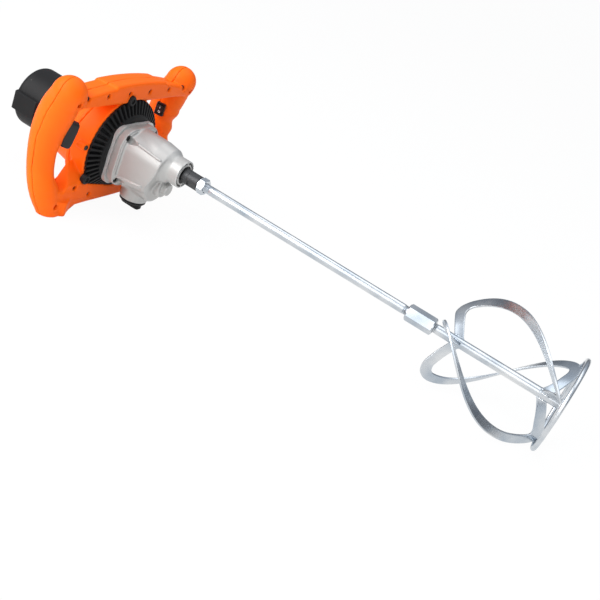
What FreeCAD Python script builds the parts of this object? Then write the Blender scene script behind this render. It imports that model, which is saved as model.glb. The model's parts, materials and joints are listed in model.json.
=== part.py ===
import FreeCAD, Part
import math
import os
import re
from types import SimpleNamespace
from FreeCAD import Placement, Rotation, Vector

# Millimetres. X runs along the spindle towards the paddle from the nose face, Y to the right grip, Z up.
DRIVING = {
    "runningGap": 0.05,
    "looseGap": 0.4,
    "rodDiameter": 14.0,
    "hexFlats": 22.0,
    "hexRoll": -25.0,
    "nutThickness": 11.0,
    "threadDepth": 20.0,
    "couplingStart": 384.0,
    "couplingLength": 42.0,
    "ringPlane": 616.0,
    "ringDiameter": 140.0,
    "ringWire": 6.8,
    "bladeTop": 441.0,
    "bladeFoot": 611.5,
    "bladeRadius": 78.0,
    "bladeWidth": 13.0,
    "bladeThickness": 3.0,
    "bladeTwist": 0.762,
    "bladeAngle": -96.7,
    "spindleDiameter": 23.0,
    "spindleReach": 28.5,
    "spindleFlats": 19.0,
    "spindleFlatStart": 12.0,
    "spindleShaft": 15.0,
    "spindleJournal": 10.0,
    "noseDiameter": 43.0,
    "noseLength": 40.0,
    "noseRim": 2.0,
    "noseGroove": 6.0,
    "noseRib": 2.4,
    "sealInset": 1.5,
    "sealThickness": 3.0,
    "noseBearingDiameter": 28.0,
    "noseBearingWidth": 7.0,
    "seatWall": 2.5,
    "motorDrop": 16.0,
    "layOffset": 8.0,
    "firstModule": 1.25,
    "motorTeeth": 9,
    "middleGearTeeth": 27,
    "secondModule": 1.5,
    "middlePinionTeeth": 9,
    "layGearTeeth": 27,
    "thirdModule": 2.0,
    "lowPinionTeeth": 15,
    "lowGearTeeth": 25,
    "highPinionTeeth": 22,
    "highGearTeeth": 18,
    "gearWidth": 7.0,
    "gearSpace": 1.4,
    "collarLength": 10.0,
    "collarDiameter": 22.0,
    "collarTravel": 6.0,
    "forkGroove": 5.8,
    "forkGrooveDepth": 2.6,
    "layShaft": 12.0,
    "smallJournal": 9.0,
    "bushWall": 2.0,
    "plateBack": -105.0,
    "plateThickness": 6.0,
    "flangeWidth": 94.0,
    "flangeCorner": 20.0,
    "flangeThickness": 12.0,
    "castWall": 4.0,
    "barrelBack": 80.0,
    "barrelFront": 73.0,
    "barrelCorner": 15.0,
    "cavityCorner": 24.0,
    "flangeScrew": 5.0,
    "flangeScrewSpan": 69.0,
    "flangeScrewLength": 24.0,
    "layBossDiameter": 34.0,
    "layBossReach": 9.0,
    "layStubDiameter": 19.0,
    "layStubReach": 9.0,
    "knobBossDiameter": 43.0,
    "knobBossFoot": -80.0,
    "knobDiameter": 41.0,
    "knobThickness": 4.6,
    "knobGripWidth": 12.0,
    "knobGripHeight": 10.0,
    "knobShaft": 12.0,
    "selectorPin": 4.0,
    "ventDiameter": 160.0,
    "ventFrontDiameter": 112.0,
    "ventDepth": 11.0,
    "ventWall": 3.0,
    "ventSlots": 54,
    "ventSlotWidth": 3.6,
    "ventSlotLength": 15.0,
    "ventFloorRise": 19.0,
    "ventFloorLean": 12.0,
    "lobeOverhang": 2.0,
    "lobeDiameter": 15.0,
    "lobeBossDepth": 14.0,
    "lobeScrewDepth": 12.0,
    "shieldDiameter": 89.0,
    "shieldDepth": 15.0,
    "shieldWall": 6.0,
    "motorShaft": 12.0,
    "motorBearingDiameter": 32.0,
    "motorBearingWidth": 10.0,
    "fanDiameter": 100.0,
    "fanDepth": 16.0,
    "fanBlades": 11,
    "armatureDiameter": 44.0,
    "armatureLength": 54.0,
    "airGap": 0.8,
    "windingEnd": 9.0,
    "statorDiameter": 81.0,
    "fieldCoilDepth": 9.0,
    "commutatorDiameter": 30.0,
    "commutatorLength": 18.0,
    "rearBearingDiameter": 26.0,
    "rearBearingWidth": 8.0,
    "rearJournal": 10.0,
    "sleeveWall": 5.5,
    "brushWidth": 8.0,
    "brushHeight": 12.0,
    "brushLength": 14.0,
    "brushWall": 1.6,
    "capDiameter": 98.0,
    "capBack": -290.0,
    "capFront": -214.0,
    "capWall": 3.0,
    "capRound": 9.0,
    "capScrew": 4.0,
    "brushCoverWidth": 26.0,
    "brushCoverRise": 4.0,
    "frameWall": 3.0,
    "frameFront": -116.0,
    "hubMargin": 2.0,
    "earMargin": 4.0,
    "hubDepth": 36.0,
    "neckBack": 108.0,
    "neckFront": 134.0,
    "barFront": -111.5,
    "topBarDepth": 42.0,
    "topBarOverlap": 4.5,
    "topBarHeight": 29.5,
    "topBarFall": 12.0,
    "lowBarDepth": 36.0,
    "lowBarOverlap": 38.0,
    "archClearance": 3.5,
    "archSpan": 184.0,
    "archFall": 8.0,
    "barRound": 8.0,
    "gripSpan": 270.0,
    "knobRadius": 23.5,
    "knobDrop": 12.0,
    "footDepth": 6.5,
    "footFront": -113.0,
    "bossDiameter": 10.0,
    "shellScrew": 4.0,
    "shellScrewLength": 24.0,
    "triggerLength": 42.0,
    "triggerWidth": 12.0,
    "triggerRise": 9.5,
    "triggerTravel": 6.0,
    "triggerHeight": 14.0,
    "triggerTurn": 48.0,
    "rockerLength": 21.0,
    "rockerWidth": 15.0,
    "rockerHeight": 25.0,
    "rockerTurn": 14.0,
    "rockerTilt": 12.0,
    "glandDiameter": 16.0,
    "glandLength": 28.0,
    "glandFront": -131.0,
    "glandAside": 130.0,
    "glandHeight": -76.0,
    "cordDiameter": 8.0,
}
d = SimpleNamespace(**DRIVING)


def meeting(first, firstReach, second, secondReach):
    # Point on the left of the line first to second that lies at the two reaches from them.
    line = second - first
    span = line.Length
    along = (firstReach**2 - secondReach**2 + span**2) / (2 * span)
    aside = math.sqrt(firstReach**2 - along**2)
    unit = line / span
    return first + unit * along + Vector(0, unit.z, -unit.y) * aside


firstReach = d.firstModule * (d.motorTeeth + d.middleGearTeeth) / 2
secondReach = d.secondModule * (d.middlePinionTeeth + d.layGearTeeth) / 2
thirdReach = d.thirdModule * (d.lowPinionTeeth + d.lowGearTeeth) / 2
motorAxis = Vector(0, 0, -d.motorDrop)
layAxis = Vector(0, d.layOffset, -math.sqrt(thirdReach**2 - d.layOffset**2))
middleAxis = meeting(motorAxis, firstReach, layAxis, secondReach)

plateFront = d.plateBack + d.plateThickness
flangeFront = plateFront + d.flangeThickness
lowStart = plateFront + d.gearSpace
layGearStart = lowStart + d.gearWidth + d.gearSpace
collarStart = layGearStart + d.gearWidth + d.looseGap
highStart = collarStart + d.collarLength + d.collarTravel + d.looseGap
cavityFront = highStart + d.gearWidth + d.gearSpace
shieldBack = d.plateBack - d.shieldDepth
shieldRear = shieldBack - d.shieldWall
motorBearingStart = shieldRear - d.motorBearingWidth
fanStart = motorBearingStart - 4 - d.fanDepth
armatureStart = fanStart - 2 - d.windingEnd - d.armatureLength
commutatorStart = armatureStart - d.windingEnd - 5 - d.commutatorLength
rearBearingStart = commutatorStart - 8 - d.rearBearingWidth
ventTop = motorAxis.z + d.ventDiameter / 2
ventFoot = motorAxis.z - d.ventDiameter / 2
topBarUnder = ventTop - d.topBarOverlap
topBarCrown = topBarUnder + d.topBarHeight
archTop = ventFoot - d.archClearance

DERIVED = {
    "motorZ": motorAxis.z,
    "layY": layAxis.y,
    "layZ": layAxis.z,
    "middleY": middleAxis.y,
    "middleZ": middleAxis.z,
    "plateFront": plateFront,
    "flangeFront": flangeFront,
    "lowStart": lowStart,
    "layGearStart": layGearStart,
    "collarStart": collarStart,
    "highStart": highStart,
    "cavityFront": cavityFront,
    "shieldBack": shieldBack,
    "shieldRear": shieldRear,
    "motorBearingStart": motorBearingStart,
    "fanStart": fanStart,
    "armatureStart": armatureStart,
    "commutatorStart": commutatorStart,
    "rearBearingStart": rearBearingStart,
    "lobeCircle": d.ventDiameter + 2 * d.lobeOverhang,
    "hubDiameter": d.ventDiameter + 2 * d.hubMargin,
    "ventFloorDrop": d.ventDiameter / 2 - d.ventFloorRise,
    "topBarUnder": topBarUnder,
    "topBarCrown": topBarCrown,
    "knobHeight": topBarCrown - d.knobDrop,
    "lowBarTop": ventFoot + d.lowBarOverlap,
    "archTop": archTop,
    "footDrop": d.footDepth - archTop,
}
SIZES = {**DRIVING, **DERIVED}
s = SimpleNamespace(**SIZES)

doc = FreeCAD.newDocument("mixing_drill")
sheet = doc.addObject("Spreadsheet::Sheet", "Sizes")
for row, (alias, value) in enumerate(SIZES.items(), start=1):
    sheet.set(f"A{row}", alias)
    sheet.set(f"B{row}", str(value))
    sheet.setAlias(f"B{row}", alias)
doc.recompute()

SPINDLE = ("0", "0")
MOTOR = ("0", "motorZ")
LAY = ("layY", "layZ")
MIDDLE = ("middleY", "middleZ")
ALONG_X = Rotation(Vector(0, 1, 0), 90)
GEAR_PLANE = Rotation(Vector(0, 1, 0), Vector(0, 0, 1), Vector(1, 0, 0), "ZXY")
pieces = []


def bladePath():
    # Middle line of one strip as distance along the rod and from it: out, down the side and back in.
    top = s.bladeTop
    foot = s.bladeFoot
    wide = s.bladeRadius
    points = [
        (top + 23, -2), (top + 13, 20), (top + 6, 36), (top + 2, 50), (top + 5, 62),
        (top + 16, wide - 8.5), (top + 42, wide - 2.8), ((top + foot) / 2, wide),
        (foot - 41.5, wide - 2.8), (foot - 15.5, wide - 8.5),
        (foot - 3, 63), (foot - 0.5, 52), (foot - 5, 38), (foot - 12, 20), (foot - 22.5, -2),
    ]
    path = Part.BSplineCurve()
    path.interpolate([Vector(x, r, 0) for x, r in points])
    return path


def bladeEdge(path, spread):
    points = []
    for step in range(61):
        at = path.FirstParameter + (path.LastParameter - path.FirstParameter) * step / 60
        along = path.tangent(at)[0]
        points.append(path.value(at) + Vector(-along.y, along.x, 0) * spread)
    edge = Part.BSplineCurve()
    edge.interpolate(points)
    return edge.toShape(), points[0], points[-1]


def bladeStrips():
    # Flat strips bent on edge and lying on a helicoid round the rod, cut from a flight by the spun outline.
    half = s.bladeWidth / 2
    path = bladePath()
    outer, outerStart, outerEnd = bladeEdge(path, half)
    inner, innerStart, innerEnd = bladeEdge(path, -half)
    ends = [Part.makeLine(outerEnd, innerEnd), Part.makeLine(innerStart, outerStart)]
    outline = Part.Wire([outer, ends[0], inner, ends[1]])
    axis = Vector(1, 0, 0)
    start = s.bladeTop - s.bladeWidth
    height = s.bladeFoot + s.bladeWidth - start
    core = Part.makeCylinder(s.rodDiameter / 2, height, Vector(start, 0, 0), axis)
    sheet = Part.Face(outline).cut(Part.makeBox(2 * height, 40, 2, Vector(start - height / 2, -40 + 2, -1)))
    band = sheet.revolve(Vector(), axis, 360)
    pitch = 360 / s.bladeTwist
    reach = s.bladeRadius + s.bladeWidth
    climb = math.atan2(pitch, 2 * math.pi * s.bladeRadius)
    lift = math.cos(climb) * s.bladeThickness / 2
    lead = math.sin(climb) * s.bladeThickness / 2
    low = s.rodDiameter / 2 - 0.4
    corners = [
        Vector(low, lead, -lift), Vector(reach, lead, -lift),
        Vector(reach, -lead, lift), Vector(low, -lead, lift),
    ]
    section = Part.makePolygon(corners + corners[:1])
    hoop = Part.makeTorus((s.ringDiameter - s.ringWire) / 2, s.ringWire / 2, Vector(s.ringPlane, 0, 0), axis)
    flight = Part.Wire(Part.makeHelix(pitch, height, reach)).makePipeShell([section], True, True)
    angle = s.bladeAngle + 120 + (start - s.bladeTop) * s.bladeTwist
    flight.Placement = Placement(Vector(start, 0, 0), Rotation(axis, angle) * GEAR_PLANE)
    strip = flight.common(band).cut(core).cut(hoop)
    return [strip.rotated(Vector(), axis, turn) for turn in (-120, 0, 120)]


STRIPS = bladeStrips()


def lying():
    # The tool rests on its two feet and the lowest point of the paddle.
    wire = s.ringWire / 2
    points = [point for strip in STRIPS for point in strip.tessellate(0.02)[0]]
    for step in range(181):
        angle = math.radians(step)
        reach = s.ringDiameter / 2 - wire + wire * math.sin(angle)
        points.append(Vector(s.ringPlane + wire * math.cos(angle), 0, -reach))
    dip = min(math.atan2(point.z + s.footDrop, point.x - s.footFront) for point in points)
    turn = Rotation(Vector(0, 1, 0), math.degrees(dip))
    ringTop = Vector(s.ringPlane, 0, s.ringDiameter / 2 - wire)
    front = turn.multVec(ringTop).x + wire
    rim = Vector(s.capBack, 0, s.motorZ - s.capDiameter / 2 + s.capRound)
    back = turn.multVec(rim).x
    floor = turn.multVec(Vector(s.footFront, 0, -s.footDrop)).z
    return Placement(Vector(-(front + back) / 2, 0, -floor), turn)


LYING = lying()


def named(text):
    word = re.compile(r"[A-Za-z]\w*")
    return word.sub(lambda found: "Sizes." + found.group() if found.group() in SIZES else found.group(), text)


def bind(feature, sizes):
    for path, text in sizes.items():
        feature.setExpression(path, named(text))
    return feature


def cylinder(name, radius, start, end, axis=SPINDLE):
    feature = doc.addObject("Part::Cylinder", name)
    feature.Placement = Placement(Vector(), ALONG_X)
    return bind(feature, {
        "Radius": radius,
        "Height": f"({end}) - ({start})",
        "Placement.Base.x": start,
        "Placement.Base.y": axis[0],
        "Placement.Base.z": axis[1],
    })


def cone(name, startRadius, endRadius, start, end, axis=SPINDLE):
    feature = doc.addObject("Part::Cone", name)
    feature.Placement = Placement(Vector(), ALONG_X)
    return bind(feature, {
        "Radius1": startRadius,
        "Radius2": endRadius,
        "Height": f"({end}) - ({start})",
        "Placement.Base.x": start,
        "Placement.Base.y": axis[0],
        "Placement.Base.z": axis[1],
    })


def post(name, radius, x, y, low, high):
    feature = doc.addObject("Part::Cylinder", name)
    return bind(feature, {
        "Radius": radius,
        "Height": f"({high}) - ({low})",
        "Placement.Base.x": x,
        "Placement.Base.y": y,
        "Placement.Base.z": low,
    })


def hexagon(name, flats, start, end):
    feature = doc.addObject("Part::Prism", name)
    feature.Polygon = 6
    feature.Placement = Placement(Vector(), Rotation(Vector(1, 0, 0), s.hexRoll) * ALONG_X)
    return bind(feature, {
        "Circumradius": f"({flats}) / sqrt(3)",
        "Height": f"({end}) - ({start})",
        "Placement.Base.x": start,
    })


def block(name, x, y, z):
    feature = doc.addObject("Part::Box", name)
    sides = zip(("Length", "Width", "Height"), ("x", "y", "z"), (x, y, z))
    for side, letter, (low, high) in sides:
        bind(feature, {side: f"({high}) - ({low})", f"Placement.Base.{letter}": low})
    return feature


def fuse(name, *features):
    result = doc.addObject("Part::MultiFuse", name)
    result.Shapes = list(features)
    return result


def cut(name, base, *tools):
    result = doc.addObject("Part::Cut", name)
    result.Base = base
    result.Tool = tools[0] if len(tools) == 1 else fuse(name + "_tools", *tools)
    return result


def common(name, first, second):
    result = doc.addObject("Part::MultiCommon", name)
    result.Shapes = [first, second]
    return result


def group(name, features):
    result = doc.addObject("Part::Compound", name)
    result.Links = list(features)
    return result


def rounded(name, base, radius, wanted):
    doc.recompute()
    edges = [index for index, edge in enumerate(base.Shape.Edges, start=1) if wanted(edge)]
    result = doc.addObject("Part::Fillet", name)
    result.Base = base
    result.Edges = [(index, radius, radius) for index in edges]
    return result


def alongX(edge):
    ends = [vertex.Point for vertex in edge.Vertexes]
    return len(ends) == 2 and abs(ends[0].x - ends[1].x) > 0.8 * edge.Length


def shaped(name, shape):
    feature = doc.addObject("Part::Feature", name)
    feature.Shape = shape
    return feature


def piece(label, feature):
    whole = feature if feature.TypeId.startswith(("Part::Cut", "Part::Multi", "Part::Compound")) \
        else group(label + "_whole", [feature])
    whole.Label = label
    whole.Placement = LYING
    pieces.append(whole)
    return whole


def tube(name, outer, inner, start, end, axis=SPINDLE):
    body = cylinder(name + "_body", outer, start, end, axis)
    bore = cylinder(name + "_bore", inner, start, end, axis)
    return cut(name + "_tube", body, bore)


def ring(label, outer, inner, start, end, axis=SPINDLE):
    return piece(label, tube(label, outer, inner, start, end, axis))


# Gear teeth
PRESSURE = math.radians(25)
ADDENDUM = 0.75
DEDENDUM = 1.0
BACKLASH = 0.16


def involute(radius, base):
    angle = math.acos(min(1.0, base / radius))
    return math.tan(angle) - angle


def gearFace(teeth, module, phase):
    pitch = module * teeth / 2
    base = pitch * math.cos(PRESSURE)
    tip = pitch + ADDENDUM * module
    root = pitch - DEDENDUM * module
    half = math.pi / (2 * teeth) - BACKLASH * module / (2 * pitch) + math.tan(PRESSURE) - PRESSURE
    low = max(base, root)
    radii = [low + (tip - low) * step / 4 for step in range(5)]
    edges = []
    last = None
    first = None
    for tooth in range(teeth):
        middle = phase + 2 * math.pi * tooth / teeth

        def point(radius, side):
            angle = middle + side * (half - involute(max(radius, base), base))
            return Vector(radius * math.cos(angle), radius * math.sin(angle), 0)

        climb = [point(radius, -1) for radius in radii]
        descend = [point(radius, 1) for radius in reversed(radii)]
        foot = point(root, -1)
        heel = point(root, 1)
        if last is not None:
            edges.append(Part.makeLine(last, foot))
        first = first or foot
        if (foot - climb[0]).Length > 1e-6:
            edges.append(Part.makeLine(foot, climb[0]))
        for run in (climb, descend):
            curve = Part.BSplineCurve()
            curve.interpolate(run)
            edges.append(curve.toShape())
            if run is climb:
                edges.append(Part.makeLine(climb[-1], descend[0]))
        if (descend[-1] - heel).Length > 1e-6:
            edges.append(Part.makeLine(descend[-1], heel))
        last = heel
    edges.append(Part.makeLine(last, first))
    return Part.Face(Part.Wire(edges))


def gear(label, teeth, module, start, axis, phase, bore):
    width = Vector(0, 0, s.gearWidth)
    blank = gearFace(teeth, module, phase).extrude(width)
    blank = blank.cut(Part.makeCylinder(bore, s.gearWidth))
    blank.Placement = Placement(Vector(start, axis.y, axis.z), GEAR_PLANE)
    return piece(label, shaped(label + "_teeth", blank))


def bearing(start, end):
    # Angle in the gear plane from one axis to another.
    return math.atan2(end.z - start.z, end.y - start.y)


def meshed(start, end, teeth):
    # Phase of the gear at end whose gap faces a tooth of the gear at start.
    return bearing(end, start) + math.pi / teeth


def paddle():
    rod = "rodDiameter / 2"
    bore = "rodDiameter / 2 + runningGap"
    joint = "couplingStart + couplingLength / 2"
    piece("lock_nut", cut(
        "nut_bored",
        hexagon("nut_hex", "hexFlats", "spindleReach", "spindleReach + nutThickness"),
        cylinder("nut_bore", bore, "spindleReach", "spindleReach + nutThickness"),
    ))
    piece("paddle_rod", cylinder("upper_rod", rod, "spindleReach - threadDepth", joint))
    piece("paddle_coupling", cut(
        "coupling_bored",
        hexagon("coupling_hex", "hexFlats", "couplingStart", "couplingStart + couplingLength"),
        cylinder("coupling_bore", bore, "couplingStart", "couplingStart + couplingLength"),
    ))
    piece("paddle_lower_rod", cylinder("lower_rod", rod, f"{joint} + looseGap", "ringPlane"))
    hoop = doc.addObject("Part::Torus", "hoop")
    hoop.Placement = Placement(Vector(), ALONG_X)
    bind(hoop, {
        "Radius1": "(ringDiameter - ringWire) / 2",
        "Radius2": "ringWire / 2",
        "Placement.Base.x": "ringPlane",
    })
    piece("paddle_ring", group("ring_whole", [hoop]))
    for number, strip in enumerate(STRIPS, start=1):
        piece(f"mixing_blade_{number}", shaped(f"blade_{number}", strip))


def spindle():
    shaft = "spindleShaft / 2"
    head = cylinder("spindle_head", "spindleDiameter / 2", "-sealInset / 2", "spindleReach")
    stem = cylinder("spindle_stem", shaft, "lowStart - gearSpace / 2", "0")
    tail = cylinder("spindle_tail", "spindleJournal / 2", "plateBack + looseGap", "lowStart")
    thread = cylinder("spindle_thread", "rodDiameter / 2 + runningGap",
                      "spindleReach - threadDepth", "spindleReach")
    flats = [
        block("spindle_flat_left", ("spindleFlatStart", "spindleReach - 2"),
              ("-spindleDiameter", "-spindleFlats / 2"), ("-spindleDiameter", "spindleDiameter")),
        block("spindle_flat_right", ("spindleFlatStart", "spindleReach - 2"),
              ("spindleFlats / 2", "spindleDiameter"), ("-spindleDiameter", "spindleDiameter")),
    ]
    piece("spindle", cut("spindle_turned", fuse("spindle_blank", head, stem, tail), thread, *flats))
    sealEnd = "-sealInset"
    sealStart = "-sealInset - sealThickness"
    ring("spindle_seal", "noseBearingDiameter / 2", f"{shaft} + runningGap", sealStart, sealEnd)
    ring("spindle_front_bearing", "noseBearingDiameter / 2", f"{shaft} + runningGap",
         f"{sealStart} - noseBearingWidth", sealStart)
    piece("spindle_rear_bush", bush("spindle_bush", "spindleJournal", "plateBack", "plateFront", SPINDLE))


def bush(label, journal, start, end, axis):
    return tube(label, f"{journal} / 2 + bushWall", f"{journal} / 2 + runningGap", start, end, axis)


def gears():
    lowPhase = bearing(layAxis, Vector())
    gear("lay_low_pinion", s.lowPinionTeeth, s.thirdModule, s.lowStart, layAxis, lowPhase, s.layShaft / 2)
    gear("spindle_low_gear", s.lowGearTeeth, s.thirdModule, s.lowStart, Vector(),
         meshed(layAxis, Vector(), s.lowGearTeeth), s.spindleShaft / 2)
    gear("lay_high_pinion", s.highPinionTeeth, s.thirdModule, s.highStart, layAxis, lowPhase,
         s.layShaft / 2 + s.runningGap)
    gear("spindle_high_gear", s.highGearTeeth, s.thirdModule, s.highStart, Vector(),
         meshed(layAxis, Vector(), s.highGearTeeth), s.spindleShaft / 2)
    gear("intermediate_pinion", s.middlePinionTeeth, s.secondModule, s.layGearStart, middleAxis,
         bearing(middleAxis, layAxis), s.smallJournal / 2)
    gear("lay_gear", s.layGearTeeth, s.secondModule, s.layGearStart, layAxis,
         meshed(middleAxis, layAxis, s.layGearTeeth), s.layShaft / 2)
    firstStart = s.plateBack - s.gearSpace - s.gearWidth
    gear("motor_pinion", s.motorTeeth, s.firstModule, firstStart, motorAxis,
         bearing(motorAxis, middleAxis), s.motorShaft / 2 - 3)
    gear("intermediate_gear", s.middleGearTeeth, s.firstModule, firstStart, middleAxis,
         meshed(motorAxis, middleAxis, s.middleGearTeeth), s.smallJournal / 2)


def gearShafts():
    journal = "smallJournal / 2"
    piece("intermediate_shaft", cylinder("middle_shaft", journal, "shieldRear + looseGap",
                                         "layGearStart + gearWidth", MIDDLE))
    piece("intermediate_bushes", group("middle_bush_pair", [
        bush("middle_rear_bush", "smallJournal", "shieldRear", "shieldBack", MIDDLE),
        bush("middle_front_bush", "smallJournal", "plateBack", "plateFront", MIDDLE),
    ]))
    thick = cylinder("lay_thick", "layShaft / 2", "lowStart - gearSpace / 2", "cavityFront", LAY)
    thin = cylinder("lay_thin", journal, "plateBack + looseGap", "-noseLength + layBossReach - 1", LAY)
    piece("lay_shaft", fuse("lay_turned", thick, thin))
    piece("lay_bushes", group("lay_bush_pair", [
        bush("lay_rear_bush", "smallJournal", "plateBack", "plateFront", LAY),
        bush("lay_front_bush", "smallJournal", "-noseLength - 4", "-noseLength + layBossReach - 1", LAY),
    ]))
    collarEnd = "collarStart + collarLength"
    body = cylinder("collar_body", "collarDiameter / 2", "collarStart", collarEnd, LAY)
    bore = cylinder("collar_bore", "layShaft / 2 + runningGap", "collarStart", collarEnd, LAY)
    grooveStart = "collarStart + collarLength / 2 - forkGroove / 2"
    grooveEnd = "collarStart + collarLength / 2 + forkGroove / 2"
    groove = cut(
        "collar_groove",
        cylinder("groove_outer", "collarDiameter", grooveStart, grooveEnd, LAY),
        cylinder("groove_inner", "collarDiameter / 2 - forkGrooveDepth", grooveStart, grooveEnd, LAY),
    )
    piece("shift_collar", cut("collar_turned", body, bore, groove))


KNOB_X = "collarStart + (collarLength + collarTravel) / 2"


def gearKnob():
    top = "knobBossFoot - 0.3"
    plate = "knobBossFoot - 0.3 - knobThickness"
    disc = post("knob_disc", "knobDiameter / 2", KNOB_X, "layY", plate, top)
    grip = block(
        "knob_grip",
        (f"{KNOB_X} - knobDiameter * 0.42", f"{KNOB_X} + knobDiameter * 0.42"),
        ("layY - knobGripWidth / 2", "layY + knobGripWidth / 2"),
        (f"{plate} - knobGripHeight", plate),
    )
    pinTop = "layZ - collarDiameter / 2 + forkGrooveDepth - 0.6"
    shaftTop = "layZ - collarDiameter / 2 - 3"
    piece("gear_knob", fuse("knob_moulding", disc, grip))
    shaft = post("selector_shaft", "knobShaft / 2", KNOB_X, "layY", top, shaftTop)
    pin = post("selector_point", "selectorPin / 2", f"{KNOB_X} - collarTravel / 2", "layY", shaftTop, pinTop)
    piece("selector_pin", fuse("selector_turned", shaft, pin))


def square(name, width, start, end, corner):
    half = f"({width}) / 2"
    plain = block(name + "_plain", (start, end), (f"-{half}", half), (f"motorZ - {half}", f"motorZ + {half}"))
    return rounded(name, plain, corner, alongX)


def tapered(name, back, front, start, end, corner):
    feature = doc.addObject("Part::Wedge", name + "_plain")
    feature.Placement = Placement(Vector(), Rotation(Vector(1, 1, 0), 180))
    bind(feature, {
        "Ymin": "0",
        "Ymax": f"({end}) - ({start})",
        "Xmin": f"-({back}) / 2",
        "Xmax": f"({back}) / 2",
        "Zmin": f"-({back}) / 2",
        "Zmax": f"({back}) / 2",
        "X2min": f"-({front}) / 2",
        "X2max": f"({front}) / 2",
        "Z2min": f"-({front}) / 2",
        "Z2max": f"({front}) / 2",
        "Placement.Base.x": start,
        "Placement.Base.z": "motorZ",
    })
    return rounded(name, feature, corner, alongX)


def gearHousing():
    flange = square("flange", "flangeWidth", "plateFront", "flangeFront", s.flangeCorner)
    barrel = tapered("barrel", "barrelBack", "barrelFront", "flangeFront", "-noseLength", s.barrelCorner)
    nose = cylinder("nose", "noseDiameter / 2", "-noseLength", "0")
    bulge = cylinder("lay_bulge", "thirdModule * highPinionTeeth / 2 + 2 * castWall + 1", "plateFront",
                     "-noseLength", LAY)
    boss = cylinder("lay_boss", "layBossDiameter / 2", "-noseLength", "-noseLength + layBossReach", LAY)
    stub = cylinder("lay_stub", "layStubDiameter / 2", "-noseLength + layBossReach",
                    "-noseLength + layBossReach + layStubReach", LAY)
    knobBoss = post("knob_boss", "knobBossDiameter / 2", KNOB_X, "layY", "knobBossFoot", "layZ")
    outside = fuse("housing_outside", flange, barrel, nose, bulge, boss, stub, knobBoss)

    wide = square("flange_cavity", "flangeWidth - 2 * castWall", "plateFront", "flangeFront - 2",
                  s.flangeCorner - s.castWall)
    deep = square("barrel_cavity", "barrelFront", "plateFront", "cavityFront", s.cavityCorner)
    well = cylinder("lay_cavity", "thirdModule * highPinionTeeth / 2 + castWall", "plateFront",
                    "cavityFront", LAY)
    tunnel = cylinder("nose_tunnel", "spindleShaft / 2 + 2", "plateFront", "0")
    seat = cylinder("nose_seat", "noseBearingDiameter / 2",
                    "-sealInset - sealThickness - noseBearingWidth", "0")
    laySeat = cylinder("lay_seat", "smallJournal / 2 + bushWall", "-noseLength - 4",
                       "-noseLength + layBossReach - 1", LAY)
    layPassage = cylinder("lay_passage", "layShaft / 2 + 1", "cavityFront - 1", "-noseLength - 4", LAY)
    knobSeat = post("knob_seat", "knobShaft / 2 + runningGap", KNOB_X, "layY", "knobBossFoot", "layZ")
    relief = cut(
        "nose_groove",
        cylinder("groove_rim", "noseDiameter / 2 - noseRim", "-noseGroove", "0"),
        cylinder("groove_wall", "noseBearingDiameter / 2 + seatWall", "-noseGroove", "0"),
        block("groove_rib_flat", ("-noseGroove", "0"), ("-noseDiameter", "noseDiameter"),
              ("-noseRib / 2", "noseRib / 2")),
        block("groove_rib_up", ("-noseGroove", "0"), ("-noseRib / 2", "noseRib / 2"),
              ("-noseDiameter", "noseDiameter")),
    )
    hollows = [wide, deep, well, tunnel, seat, laySeat, layPassage, knobSeat, relief]
    piece("gear_housing", cut("housing_cast", outside, *hollows, *flangeHoles("flange_hole", "0")))


def flangeHoles(name, extra):
    holes = []
    for number, (y, z) in enumerate(((-1, -1), (-1, 1), (1, -1), (1, 1))):
        at = (f"{y} * flangeScrewSpan / 2", f"motorZ + {z} * flangeScrewSpan / 2")
        holes.append(cylinder(f"{name}_{number}", f"flangeScrew / 2 + {extra}",
                              "flangeFront - flangeScrewLength - 1", "flangeFront + 1", at))
        if name == "flange_hole":
            holes.append(cylinder(f"{name}_head_{number}", "flangeScrew * 0.95 + 0.4",
                                  "flangeFront - flangeScrew", "flangeFront + 20", at))
    return holes


def flangeScrews():
    screws = []
    for number, (y, z) in enumerate(((-1, -1), (-1, 1), (1, -1), (1, 1))):
        at = (f"{y} * flangeScrewSpan / 2", f"motorZ + {z} * flangeScrewSpan / 2")
        seat = "flangeFront - flangeScrew"
        head = cylinder(f"flange_screw_head_{number}", "flangeScrew * 0.85", seat, f"{seat} + 4", at)
        shank = cylinder(f"flange_screw_shank_{number}", "flangeScrew / 2",
                         "flangeFront - flangeScrewLength", seat, at)
        screws.append(fuse(f"flange_screw_{number}", head, shank))
    piece("flange_screws", group("flange_screw_set", screws))


def gearPlate():
    plate = square("plate", "flangeWidth", "plateBack", "plateFront", s.flangeCorner)
    seats = [
        cylinder("plate_spindle_seat", "spindleJournal / 2 + bushWall", "plateBack", "plateFront"),
        cylinder("plate_lay_seat", "smallJournal / 2 + bushWall", "plateBack", "plateFront", LAY),
        cylinder("plate_middle_seat", "smallJournal / 2 + bushWall", "plateBack", "plateFront", MIDDLE),
    ]
    piece("gear_plate", cut("plate_bored", plate, *seats, *flangeHoles("plate_hole", "0")))


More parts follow.
